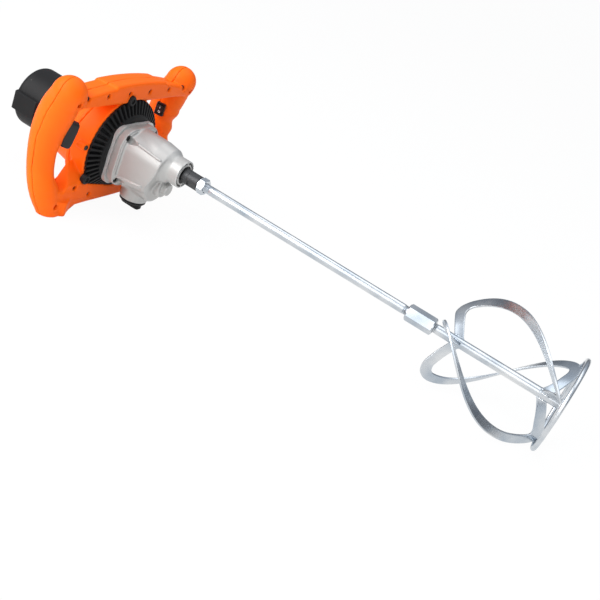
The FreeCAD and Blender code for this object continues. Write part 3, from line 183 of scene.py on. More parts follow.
def bead(line, radius):
    # A weld run: a tube along a line whose radius swells and sinks in uneven lumps and closes at both ends.
    line = np.asarray(line, dtype=float)
    count = np.arange(len(line))
    ends = np.sin(math.pi * (count + 0.6) / (len(line) + 0.2)) ** 0.4
    swell = radius * ends * (1 + 0.16 * np.sin(count * 1.9) + 0.1 * np.sin(count * 0.83 + 1))
    along = np.gradient(line, axis=0)
    along /= np.linalg.norm(along, axis=1, keepdims=True)
    first = np.cross(along, line * (0, 1, 1))
    first /= np.linalg.norm(first, axis=1, keepdims=True)
    second = np.cross(along, first)
    sides = 14
    angle = roundTurn(sides)
    points = line[:, None] + swell[:, None, None] * (first[:, None] * np.cos(angle)[None, :, None]
                                                     + second[:, None] * np.sin(angle)[None, :, None])
    return points.reshape(-1, 3), cappedGrid(len(line), sides)


def screwShell(spot, face, seat, tip, headRadius, shankRadius, socket):
    # Rings from the middle of the head out over its rim, under it and down the shank. The middle rings are
    # pushed in where the socket reaches: a cross of two bars, or a hexagon.
    steps = 48
    angle = roundTurn(steps)
    toward = 1 if face > seat else -1
    height = abs(face - seat)
    inner = np.array([0.15, 0.4, 0.55, 0.62, 0.7]) * headRadius
    rows = [(r, 0.0) for r in inner] + [(0.86 * headRadius, 0.12 * height), (headRadius, 0.4 * height),
                                        (headRadius, height), (shankRadius, height), (shankRadius, abs(face - tip))]
    radius = np.array([row[0] for row in rows])[:, None]
    depth = np.array([row[1] for row in rows])[:, None] * np.ones((1, steps))
    if socket == "cross":
        narrow = np.minimum(np.abs(radius * np.cos(angle + 0.4)), np.abs(radius * np.sin(angle + 0.4)))
        inside = (narrow < 0.2 * headRadius) & (radius < 0.66 * headRadius)
    else:
        inside = radius < 0.56 * headRadius / np.cos((angle % (math.pi / 3)) - math.pi / 6) * 0.93
    depth = np.where(inside, 0.55 * height, depth)
    points = np.stack([face - toward * depth, spot[0] + radius * np.cos(angle), spot[1] + radius * np.sin(angle)],
                      axis=-1)
    faces = cappedGrid(len(rows), steps)
    if toward > 0:
        faces = [part[:, ::-1] for part in faces]
    return points.reshape(-1, 3), faces


def smoothLine(stations, count):
    # Catmull-Rom curve through the stations, sampled evenly in its parameter.
    stations = np.asarray(stations, dtype=float)
    padded = np.concatenate([2 * stations[:1] - stations[1:2], stations, 2 * stations[-1:] - stations[-2:-1]])
    at = np.linspace(0, len(stations) - 1, count)
    cell = np.minimum(at.astype(int), len(stations) - 2)
    t = (at - cell)[:, None]
    a, b, c, e = (padded[cell + shift] for shift in range(4))
    return 0.5 * (2 * b + (c - a) * t + (2 * a - 5 * b + 4 * c - e) * t**2 + (3 * b - a - 3 * c + e) * t**3)


# A moulding that branches can't be one grid, so its skin is the zero level of a distance that blends its limbs.


def melt(a, b, width):  # smooth least of two distances: limbs joined with a fillet of about this width
    share = np.clip(0.5 + 0.5 * (b - a) / width, 0, 1)
    return b + (a - b) * share - width * share * (1 - share)


def meet(a, b, width):  # smooth greatest of two distances: what both hold, with a rounded edge
    return -melt(-a, -b, width)


def carve(a, tool, width):  # the first without the second, with a rounded rim
    return meet(a, -tool, width)


def roundedBlock(dx, dy, dz, half, rounding):
    qx = np.abs(dx) - (half[0] - rounding)
    qy = np.abs(dy) - (half[1] - rounding)
    qz = np.abs(dz) - (half[2] - rounding)
    outside = np.sqrt(np.maximum(qx, 0) ** 2 + np.maximum(qy, 0) ** 2 + np.maximum(qz, 0) ** 2)
    return outside + np.minimum(np.maximum(qx, np.maximum(qy, qz)), 0) - rounding


def drum(x, across, start, end, radius, rounding=0.5):  # a round bar along x, across is the distance from its axis
    dx = np.abs(x - (start + end) / 2) - ((end - start) / 2 - rounding)
    dr = across - (radius - rounding)
    return np.sqrt(np.maximum(dx, 0) ** 2 + np.maximum(dr, 0) ** 2) + np.minimum(np.maximum(dx, dr), 0) - rounding


def limb(x, y, z, start, end, startHalf, endHalf):
    # A tapered bar with ball ends, oval in section: half widths along x and along y.
    start = np.asarray(start, dtype=float)
    run = np.asarray(end, dtype=float) - start
    t = ((x - start[0]) * run[0] + (y - start[1]) * run[1] + (z - start[2]) * run[2]) / (run @ run)
    t = np.clip(t, 0, 1)
    halfX = startHalf[0] + t * (endHalf[0] - startHalf[0])
    halfY = startHalf[1] + t * (endHalf[1] - startHalf[1])
    mean = (halfX + halfY) / 2
    offX = (x - start[0] - t * run[0]) * mean / halfX
    offY = (y - start[1] - t * run[1]) * mean / halfY
    return np.sqrt(offX**2 + offY**2 + (z - start[2] - t * run[2]) ** 2) - mean


def skin(field, low, high, step):
    # One point for each cell that the zero level crosses, at the mean of the crossings on the cell's edges,
    # and one quad round each grid edge that it crosses. The points are then moved onto the level itself.
    lines = [np.arange(a - step, b + 2 * step, step, dtype=np.float32) for a, b in zip(low, high)]
    values = field(*np.meshgrid(*lines, indexing="ij")).astype(np.float32)
    inside = values < 0
    corners = [(i, j, k) for i in (0, 1) for j in (0, 1) for k in (0, 1)]
    size = [n - 1 for n in values.shape]

    def shifted(array, corner):
        return array[tuple(slice(c, c + n) for c, n in zip(corner, size))]

    count = sum(shifted(inside, corner).astype(np.int8) for corner in corners)
    cells = np.argwhere((count > 0) & (count < 8))
    index = np.full(size, -1, dtype=np.int32)
    index[tuple(cells.T)] = np.arange(len(cells))
    total = np.zeros((len(cells), 3))
    hits = np.zeros((len(cells), 1))
    for axis in range(3):
        for a in (0, 1):
            for b in (0, 1):
                near = np.insert([a, b], axis, 0)
                far = np.insert([a, b], axis, 1)
                valueNear = values[tuple((cells + near).T)]
                valueFar = values[tuple((cells + far).T)]
                crossed = (valueNear < 0) != (valueFar < 0)
                gap = np.where(crossed, valueNear - valueFar, 1)
                along = np.where(crossed, valueNear / gap, 0)[:, None]
                total += np.where(crossed[:, None], near + along * (far - near), 0)
                hits += crossed[:, None]
    points = np.array([line[0] for line in lines]) + step * (cells + total / hits)

    quads = []
    for axis in range(3):
        others = [other for other in range(3) if other != axis]
        upper = [slice(None)] * 3
        lower = [slice(None)] * 3
        lower[axis] = slice(0, -1)
        upper[axis] = slice(1, None)
        change = inside[tuple(lower)].astype(np.int8) - inside[tuple(upper)].astype(np.int8)
        edges = np.argwhere(change)
        edges = edges[(edges[:, others[0]] > 0) & (edges[:, others[1]] > 0)]
        edges = edges[(edges[:, others[0]] < size[others[0]]) & (edges[:, others[1]] < size[others[1]])]
        turnSign = change[tuple(edges.T)] * (-1 if axis == 1 else 1)
        ring = []
        for a, b in ((1, 1), (0, 1), (0, 0), (1, 0)):
            back = np.insert([a, b], axis, 0)
            ring.append(index[tuple((edges - back).T)])
        ring = np.stack(ring, axis=1)
        quads.append(np.where(turnSign[:, None] > 0, ring, ring[:, ::-1]))
    quads = np.concatenate(quads)

    reach = step * 0.1
    for _ in range(4):
        x, y, z = points.T
        value = field(x, y, z)
        slope = np.stack([
            field(x + reach, y, z) - field(x - reach, y, z),
            field(x, y + reach, z) - field(x, y - reach, z),
            field(x, y, z + reach) - field(x, y, z - reach),
        ], axis=1) / (2 * reach)
        steepness = np.maximum((slope**2).sum(1), 0.25)
        move = -(value / steepness)[:, None] * slope
        points = points + np.clip(move, -0.4 * step, 0.4 * step)
    return points, [quads]


def wire(tree, source, target):
    tree.links.new(source, target)


def feed(tree, value, socket):  # a plain value is set on the socket, and an output is wired to it
    if isinstance(value, (int, float, tuple)):
        socket.default_value = value
    else:
        wire(tree, value, socket)


def mathNode(tree, operation, *values):
    node = tree.nodes.new("ShaderNodeMath")
    node.operation = operation
    for value, socket in zip(values, node.inputs):
        feed(tree, value, socket)
    return node.outputs[0]


def noise(tree, where, scale, detail):
    node = tree.nodes.new("ShaderNodeTexNoise")
    for label, value in (("Vector", where), ("Scale", scale), ("Detail", detail)):
        feed(tree, value, node.inputs[label])
    return node.outputs["Fac"]


def spreadMask(tree, value, low, high, toLow=0.0, toHigh=1.0):
    node = tree.nodes.new("ShaderNodeMapRange")
    wire(tree, value, node.inputs["Value"])
    for label, limit in (("From Min", low), ("From Max", high), ("To Min", toLow), ("To Max", toHigh)):
        feed(tree, limit, node.inputs[label])
    return node.outputs["Result"]


def blendColour(tree, factor, first, second):
    mix = tree.nodes.new("ShaderNodeMix")
    mix.data_type = "RGBA"
    wire(tree, factor, mix.inputs[0])
    for socket, value in ((mix.inputs[6], first), (mix.inputs[7], second)):
        feed(tree, (*value, 1) if isinstance(value, tuple) else value, socket)
    return mix.outputs[2]


def group(name, numbers, outputs):
    # A shader group with coordinates and numbers going in, each number with its usual value, and numbers coming out.
    tree = bpy.data.node_groups.new(name, "ShaderNodeTree")
    tree.interface.new_socket("Coordinates", in_out="INPUT", socket_type="NodeSocketVector")
    for label, value in numbers.items():
        tree.interface.new_socket(label, in_out="INPUT", socket_type="NodeSocketFloat").default_value = value
    for label in outputs:
        tree.interface.new_socket(label, in_out="OUTPUT", socket_type="NodeSocketFloat")
    return tree, tree.nodes.new("NodeGroupInput").outputs, tree.nodes.new("NodeGroupOutput").inputs


def makeGrain():
    # Fine pitted texture of a moulded or cast skin: a height, and a roughness that follows it with broad patches.
    tree, given, made = group("mouldedGrain", {
        "Scale": 900.0, "Patch scale": 18.0, "Rough low": 0.4, "Rough high": 0.5,
    }, ("Height", "Roughness", "Patch"))
    fine = noise(tree, given["Coordinates"], given["Scale"], 3)
    broad = noise(tree, given["Coordinates"], given["Patch scale"], 4)
    mean = mathNode(tree, "MULTIPLY_ADD", fine, 0.5, mathNode(tree, "MULTIPLY", broad, 0.5))
    wire(tree, fine, made["Height"])
    wire(tree, spreadMask(tree, mean, 0.3, 0.7, given["Rough low"], given["Rough high"]), made["Roughness"])
    wire(tree, broad, made["Patch"])
    return tree


def makeEdgeRub():
    # Where a convex edge has been rubbed: the mesh's pointiness over a limit, broken up by noise.
    tree, given, made = group("rubbedEdge", {"Start": 0.53, "Full": 0.6, "Strength": 0.5}, ("Mask",))
    shape = tree.nodes.new("ShaderNodeNewGeometry")
    limit = spreadMask(tree, shape.outputs["Pointiness"], given["Start"], given["Full"])
    broken = mathNode(tree, "MULTIPLY", limit, noise(tree, given["Coordinates"], 160, 5))
    mask = mathNode(tree, "MULTIPLY", broken, given["Strength"])
    mask.node.use_clamp = True
    wire(tree, mask, made["Mask"])
    return tree


def makeStreaks():
    # Lines of a drawn or rolled metal: noise stretched along x, as a height and a roughness.
    tree, given, made = group("drawnStreaks", {"Across": 1500.0, "Rough low": 0.2, "Rough high": 0.35},
                              ("Height", "Roughness", "Cloud"))
    stretch = tree.nodes.new("ShaderNodeMapping")
    stretch.inputs["Scale"].default_value = (0.02, 1.0, 1.0)
    wire(tree, given["Coordinates"], stretch.inputs["Vector"])
    lines = noise(tree, stretch.outputs["Vector"], given["Across"], 2)
    # The cloud mixes two colours of the metal: its own tints, and on the zinc also painted reflection.
    cloud = noise(tree, given["Coordinates"], 22, 5)
    mixed = mathNode(tree, "ADD", lines, cloud)
    wire(tree, lines, made["Height"])
    wire(tree, spreadMask(tree, mixed, 0.7, 1.3, given["Rough low"], given["Rough high"]), made["Roughness"])
    wire(tree, cloud, made["Cloud"])
    return tree


grainGroup = makeGrain()
rubGroup = makeEdgeRub()
streakGroup = makeStreaks()


def placed(tree, nodeGroup, where, **values):
    node = tree.nodes.new("ShaderNodeGroup")
    node.node_tree = nodeGroup
    wire(tree, where.outputs["Object"], node.inputs["Coordinates"])
    for label, value in values.items():
        node.inputs[label.replace("_", " ")].default_value = value
    return node


def startFinish(name, metallic):
    look = bpy.data.materials.new(name)
    look.use_nodes = True
    tree = look.node_tree
    shader = tree.nodes["Principled BSDF"]
    shader.inputs["Metallic"].default_value = metallic
    return look, tree, shader, tree.nodes.new("ShaderNodeTexCoord")


def raiseBump(tree, shader, height, strength, distance):
    bump = tree.nodes.new("ShaderNodeBump")
    bump.inputs["Strength"].default_value = strength
    bump.inputs["Distance"].default_value = distance
    wire(tree, height, bump.inputs["Height"])
    wire(tree, bump.outputs["Normal"], shader.inputs["Normal"])


def moulded(name, colour, second, rubbed, rough, grainScale, bump, distance, metallic=0.0, rub=0.5, specular=0.5):
    # Grain for height and gloss, two close colours in broad patches, and paler rubbed edges.
    look, tree, shader, where = startFinish(name, metallic)
    shader.inputs["Specular IOR Level"].default_value = specular
    grain = placed(tree, grainGroup, where, Scale=grainScale, Rough_low=rough[0], Rough_high=rough[1])
    edge = placed(tree, rubGroup, where, Strength=rub)
    patch = blendColour(tree, spreadMask(tree, grain.outputs["Patch"], 0.3, 0.7), colour, second)
    wire(tree, blendColour(tree, edge.outputs["Mask"], patch, rubbed), shader.inputs["Base Color"])
    wire(tree, grain.outputs["Roughness"], shader.inputs["Roughness"])
    raiseBump(tree, shader, grain.outputs["Height"], bump, distance)
    return look


def drawn(name, colour, second, rough, across, bump, distance, metallic=1.0):
    # Streaks for height and gloss, and two colours of the metal in clouds: the metal's own tints, and on the zinc also
    # painted reflection, pale and dark.
    look, tree, shader, where = startFinish(name, metallic)
    streak = placed(tree, streakGroup, where, Across=across, Rough_low=rough[0], Rough_high=rough[1])
    wire(tree, blendColour(tree, spreadMask(tree, streak.outputs["Cloud"], 0.35, 0.68), colour, second),
         shader.inputs["Base Color"])
    wire(tree, streak.outputs["Roughness"], shader.inputs["Roughness"])
    raiseBump(tree, shader, streak.outputs["Height"], bump, distance)
    return look


finishes = {
    "orange_plastic": moulded("orangeMoulding", (1.0, 0.142, 0.004), (0.96, 0.13, 0.003), (1.0, 0.2, 0.015),
                              (0.46, 0.54), 1400, 0.08, 0.0002, rub=0.3, specular=0.14),
    "black_plastic": moulded("blackMoulding", (0.009, 0.009, 0.0095), (0.013, 0.013, 0.0135), (0.04, 0.04, 0.042),
                             (0.46, 0.58), 1100, 0.18, 0.0003, specular=0.18),
    "switch_plastic": moulded("switchMoulding", (0.009, 0.009, 0.01), (0.013, 0.013, 0.014), (0.04, 0.04, 0.042),
                              (0.28, 0.4), 1500, 0.1, 0.0002, specular=0.4),
    "cast_aluminium": moulded("castAluminium", (0.42, 0.415, 0.40), (0.48, 0.475, 0.46), (0.72, 0.72, 0.71),
                              (0.36, 0.46), 700, 0.1, 0.0004, metallic=0.4, rub=1.0),
    # Zinc: dark slate and near white in clouds, partly the plating's own tint and partly painted reflection, standing
    # in for the bright and dark reflections on the rods and blades.
    "zinc_steel": drawn("zincSteelPaintedReflection", (0.42, 0.475, 0.535), (0.72, 0.735, 0.745), (0.22, 0.32), 900, 0.004, 0.0001),
    "black_steel": drawn("blackSteel", (0.03, 0.03, 0.032), (0.055, 0.055, 0.057), (0.3, 0.45), 1200, 0.1, 0.0002, 0.5),
    "gear_steel": drawn("gearSteel", (0.4, 0.4, 0.41), (0.5, 0.49, 0.48), (0.24, 0.4), 1400, 0.08, 0.0002),
    "bearing_steel": drawn("bearingSteel", (0.7, 0.7, 0.72), (0.78, 0.78, 0.79), (0.12, 0.22), 1800, 0.05, 0.0001),
    "screw_steel": drawn("screwSteel", (0.03, 0.03, 0.03), (0.06, 0.058, 0.055), (0.3, 0.45), 1500, 0.12, 0.0002, 0.6),
    "bronze": drawn("sinteredBronze", (0.55, 0.36, 0.16), (0.45, 0.3, 0.15), (0.35, 0.5), 1300, 0.1, 0.0002),
    "copper": drawn("enamelledCopper", (0.6, 0.24, 0.1), (0.5, 0.18, 0.08), (0.25, 0.4), 1600, 0.2, 0.0003),
    "lamination": drawn("stackedSheet", (0.2, 0.2, 0.21), (0.28, 0.28, 0.29), (0.4, 0.55), 2000, 0.3, 0.0004, 0.9),
    "rubber": moulded("sealRubber", (0.015, 0.015, 0.016), (0.022, 0.022, 0.023), (0.05, 0.05, 0.05),
                      (0.6, 0.75), 800, 0.2, 0.0003),
    "carbon": moulded("pressedCarbon", (0.03, 0.03, 0.032), (0.05, 0.05, 0.052), (0.12, 0.12, 0.12),
                      (0.4, 0.55), 900, 0.2, 0.0003),
}
paint = moulded("whiteMark", (0.75, 0.75, 0.74), (0.8, 0.8, 0.79), (0.85, 0.85, 0.84), (0.4, 0.5), 1500, 0.05, 0.0001)
slotOf = {part["node"]: part["material_slot"] for part in frame["record"]["subparts"]}
print("finishes made:", len(finishes))


def install(made, body, slotName, *replaced):
    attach(made, body)
    if replaced:
        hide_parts(*replaced)
    print("piece", made.name, len(made.data.vertices), "points")
    return made


def addPiece(name, shell, body, slotName, *replaced, sharpAngle=35.0, look=None):
    made = meshPiece(name, *shell, look or finishes[slotName], sharpAngle)
    return install(made, body, slotName, *replaced)


frameMould = {
    "grip": ((80, -131, 135, 21.5, 21.5), (45, -142, 136, 25.7, 22.5), (5, -148, 137, 23, 21),
             (-40, -142.5, 137, 20.5, 20), (-75, -130, 134, 19.5, 20), (-112, -117, 122, 12, 15)),
    "knob": (-131, 135, 76.5, 23.2),
    "scallop": {"rise": 1.5, "peak": 20.0, "pitch": 28.0, "low": -34.0, "high": 32.0},
    "hollow": {"depth": 5.0, "low": -62.0, "high": 0.0, "ease": 14.0},
    "dots": ((-124.5, 145.4, -7.7), (-123.0, 144.5, -23.3)),
    "motorDrop": -16.0,
    "hub": (-152, -116, 82),
    "neck": (-214, -149, 54, 67),
    "topBar": {"front": -111.5, "back": -153.5, "crown": 88.2, "under": 59.5, "fall": 15,
               "lean": 0.1, "pad": (-60, 66, 3.0)},
    "lowBar": {"front": -111.5, "back": -147.5, "top": -58, "topFall": (80, 94, 10.5), "under": -99.5,
               "archRise": (50, 24, 0.5), "archFall": (78, 16, 9)},
    "span": 135.0,
    "foot": {"centre": (-115, 116, -97), "half": (14, 24, 13), "corner": (-101, 112), "outer": (-125, 139),
             "inner": (-113, 91)},
    "ear": (86.0, -5.0, 5.6, -131.0),
    "gusset": {"slope": (-111.5, -62.0, -139.6, -30.0), "diagonal": (111.0, -66.0, 89.0, -32.0),
               "back": -136.0, "front": -112.0, "foot": -88.0, "inner": 60.0},
    "screws": ((24.4, 75), (73.9, 75), (116.5, 73.5), (136, 68), (52, -85), (90, -68), (127, -90), (86, -5)),
    "screwFace": -117.0,
    "recess": 3.9,
    "seam": 0.3,
    "motorRooms": ((-260, -150, 46.2), (-158, -60, 62)),
    "openFront": -60,
    "seatGap": 0.4,
    "lobeSeat": 7.9,
    "dotRadius": 2.3,
    "triggerWindow": (25, (16, 6.8, 22.6), 3),
    "rockerWindow": (24, (16, 7.2, 10.2), 0.8),
    "gland": {"y": 130, "z": -76, "start": -190, "end": -131, "radius": 8.1},
    "step": 1.7,
    "frontBox": ((-152, -162, -108), (-84, 162, 102)),
    "rearBox": ((-217, -162, -108), (-105, 162, 102)),
}
gripLine = smoothLine([(s[1], s[2], s[0], s[3], s[4]) for s in frameMould["grip"]], 22)[1:]


def partingDepth(z):
    heights = [s[0] for s in frameMould["grip"]][::-1]
    depths = [s[1] for s in frameMould["grip"]][::-1]
    return np.interp(z, heights, depths)


def turnedAway(x, y, z, centre, degrees):
    # Coordinates along, across and up from a centre, turned about the vertical.
    c = math.cos(math.radians(degrees))
    s = math.sin(math.radians(degrees))
    dx = x - centre[0]
    dy = y - centre[1]
    return dx * c + dy * s, dy * c - dx * s, z - centre[2]


ventRing = {
    "radius": 80.0,
    "slots": 54,
    "slotShare": 0.52,
    "slotDepth": 6.0,
    "slotFrom": 59.5,
    "lobes": (102, 209, 331),
    "lobeCircle": 82.0,
    "lobeRadius": 7.5,
    "lobeFace": -108.0,
    "dip": (36, 4.5),
    "floorDrop": 61.0,
    "floorLean": 12.0,
    "collar": 47.6,
    "perSlot": 14,
}
lobeSpots = [(ventRing["lobeCircle"] * math.cos(math.radians(angle)),
              frameMould["motorDrop"] + ventRing["lobeCircle"] * math.sin(math.radians(angle)))
             for angle in ventRing["lobes"]]


def ringDip(angle):  # how far the ring and the hub draw in on the upper right, where the hand hole shows past them
    at, depth = ventRing["dip"]
    return depth * np.clip(np.cos(angle - math.radians(at)), 0, 1) ** 4


def ventFloor(y, z):
    # Height over the two low planes that the ring stops at, which meet under the motor in a blunt V.
    lean = math.radians(ventRing["floorLean"])
    return (z - frameMould["motorDrop"]) * math.cos(lean) - np.abs(y) * math.sin(lean) + ventRing["floorDrop"]


triggerPlace = {"centre": (float(partingDepth(14)), -137.0, 14.0), "turn": 48.0}
rockerPlace = {"centre": (float(partingDepth(25)), 137.0, 25.0), "turn": -76.0}


def frameField(x, y, z):
    m = frameMould
    side = np.abs(y)
    grip = None
    for a, b in zip(gripLine[:-1], gripLine[1:]):
        part = limb(x, side, z, a[:3], b[:3], a[3:], b[3:])
        grip = part if grip is None else np.minimum(grip, part)
    ball = np.sqrt((x - m["knob"][0]) ** 2 + (side - m["knob"][1]) ** 2 + (z - m["knob"][2]) ** 2) - m["knob"][3]
    w = m["scallop"]
    along = ramp(x - partingDepth(z), 14) * ramp(y, 10) * ramp(z - w["low"], 8) * ramp(w["high"] - z, 8)
    grip = grip - w["rise"] * np.cos(2 * math.pi * (z - w["peak"]) / w["pitch"]) * along
    n = m["hollow"]
    dip = ramp(z - n["low"], n["ease"]) * ramp(n["high"] - z, n["ease"])
    grip = grip + n["depth"] * dip * ramp(m["grip"][2][2] - side, 15)
    grip = melt(grip, ball, 4)
    bow = (y / m["span"]) ** 2
    top = m["topBar"]
    low, far, rise = top["pad"]
    high = top["crown"] - top["fall"] * bow - top["lean"] * (top["front"] - x)
    high = high + rise * ramp(y - low, 3) * ramp(far - y, 3)
    topBar = roundedBlock(x - (top["front"] + top["back"]) / 2, np.maximum(side - m["span"], 0),
                          z - (high + top["under"]) / 2,
                          ((top["front"] - top["back"]) / 2, 9, (high - top["under"]) / 2), 5)
    low = m["lowBar"]
    middle, width, rise = low["archRise"]
    begin, run, fall = low["archFall"]
    arch = low["under"] + rise * np.exp(-(((side - middle) / width) ** 2))
    arch = arch - fall * np.clip((side - begin) / run, 0, 1.2)
    begin, end, fall = low["topFall"]
    high = low["top"] - fall * ramp(side - begin, end - begin)
    lowBar = roundedBlock(x - (low["front"] + low["back"]) / 2, np.maximum(side - 118, 0), z - (high + arch) / 2,
                          ((low["front"] - low["back"]) / 2, 9, (high - arch) / 2), 5)
    foot = m["foot"]
    footBlock = roundedBlock(x - foot["centre"][0], side - foot["centre"][1], z - foot["centre"][2], foot["half"], 4)
    for end, hand in ((foot["outer"], 1), (foot["inner"], -1)):  # upright faces that meet at the foot's front corner
        run = np.subtract(end, foot["corner"]) / math.dist(end, foot["corner"])
        face = hand * (run[1] * (x - foot["corner"][0]) - run[0] * (side - foot["corner"][1]))
        footBlock = meet(footBlock, face, 3)
    across = away(y, z - m["motorDrop"])
    hub = drum(x, across + ringDip(np.arctan2(z - m["motorDrop"], y)), m["hub"][0], m["hub"][1], m["hub"][2], 3)
    start, end, thin, thick = m["neck"]
    cone = ramp(x - start, end - start) * (thick - thin) + thin
    neck = np.maximum(across - cone, slab(x, start, end))
    earY, earZ, earRadius, earBack = m["ear"]
    ear = drum(x, away(side - earY, z - earZ), earBack, m["hub"][1], earRadius, 1)
    g = m["gusset"]
    frontX, frontZ, backX, backZ = g["slope"]
    slope = (backZ - frontZ) * (x - frontX) - (backX - frontX) * (z - frontZ)
    slope = slope / math.hypot(backX - frontX, backZ - frontZ)
    outY, lowZ, inY, highZ = g["diagonal"]
    edge = ((z - lowZ) * (outY - inY) + (side - outY) * (highZ - lowZ)) / math.hypot(outY - inY, highZ - lowZ)
    gusset = meet(meet(slope, edge, 3), slab(x, g["back"], g["front"]), 2)
    gusset = np.maximum(gusset, np.maximum(g["foot"] - z, g["inner"] - side))
    body = hub
    for part, width in ((neck, 12), (ear, 4), (topBar, 5), (melt(lowBar, gusset, 3), 4), (melt(grip, footBlock, 4), 3)):
        body = melt(body, part, width)
    return meet(body, -heightOverFloor(x, z), 1.5)


def frameCuts(x, y, z):
    # Everything taken out of the moulding: motor room, vent seat, screw recesses and the two switch openings.
    m = frameMould
    side = np.abs(y)
    across = away(y, z - m["motorDrop"])
    ahead = m["openFront"]
    cuts = np.maximum(drum(x, across, m["hub"][1], ahead, ventRing["radius"] + m["seatGap"]),
                      -ventFloor(y, z) - m["seatGap"])
    for start, end, radius in m["motorRooms"]:
        cuts = np.minimum(cuts, drum(x, across, start, end, radius))
    for y0, z0 in m["screws"]:
        cuts = np.minimum(cuts, drum(x, away(side - y0, z - z0), m["screwFace"], ahead, m["recess"], 0.2))
    for y0, z0 in lobeSpots:
        cuts = np.minimum(cuts, drum(x, away(y - y0, z - z0), m["hub"][1], ahead, m["lobeSeat"]))
    for depth, y0, z0 in m["dots"]:
        cuts = np.minimum(cuts, drum(x, away(side - y0, z - z0), depth - 3, depth + 20, m["dotRadius"]))
    for place, (middle, half, rounding) in ((triggerPlace, m["triggerWindow"]), (rockerPlace, m["rockerWindow"])):
        along, aside, up = turnedAway(x, y, z, place["centre"], place["turn"])
        cuts = np.minimum(cuts, roundedBlock(along - middle, aside, up, half, rounding))
    g = m["gland"]
    return np.minimum(cuts, drum(x, away(y - g["y"], z - g["z"]), g["start"], g["end"], g["radius"]))


def frontField(x, y, z):
    seam = partingDepth(z) + frameMould["seam"] - x
    return meet(carve(frameField(x, y, z), frameCuts(x, y, z), 0.8), seam, 0.8)


def rearField(x, y, z):
    seam = x - partingDepth(z) + frameMould["seam"]
    return meet(carve(frameField(x, y, z), frameCuts(x, y, z), 0.8), seam, 0.8)


addPiece("frontShell", skin(frontField, *frameMould["frontBox"], frameMould["step"]), "drill_body", "orange_plastic",
         "frame_front", sharpAngle=60)
addPiece("rearShell", skin(rearField, *frameMould["rearBox"], frameMould["step"]), "drill_body", "orange_plastic",
         "frame_rear", sharpAngle=60)

casting = {
    "flange": {"start": -99, "end": -87, "half": 46.5, "corner": 29},
    "barrel": {"start": -90, "end": -25, "back": 40, "front": 34, "corner": 22},
    "brow": (-27, -10, 0.13, 0.36),
    "crown": ((-92, 30.4), (-45, 30.2), (-26, 27.2), (-18, 21.5)),
    "nose": {"radius": 21.5, "start": -52, "end": 0},
    "lay": (8.0, -39.19),
    "bulge": 31.0,
    "boss": (16.5, -28.0),
    "stub": (9.5, -20.0),
    "knob": {"x": -73.8, "y": 8.0, "radius": 21.5, "foot": -80.0},
    "screwSpan": 33.4,
    "ribs": (((-87, -33, 19.4), (-30, -29.5, 12.5)), ((-86, -38.3, -42), (-44, -34.6, -38))),
    "groove": (16.5, 19.5, 6.0, 1.2),
    "room": {"half": 36, "corner": 24, "start": -130, "end": -57},
    "bores": {"lay": ((-130, -57, 26.2), (-60, -31.5, 6.6)), "spindle": ((-130, 20, 9.5), (-11.5, 20, 14.05)),
              "knob": ((-120, -40, 6.1),)},
    "step": 1.0,
    "box": ((-101, -50, -82), (1, 50, 34)),
}


def roundedSquare(y, z, half, corner):
    qy = np.abs(y) - (half - corner)
    qz = np.abs(z) - (half - corner)
    return np.sqrt(np.maximum(qy, 0) ** 2 + np.maximum(qz, 0) ** 2) + np.minimum(np.maximum(qy, qz), 0) - corner


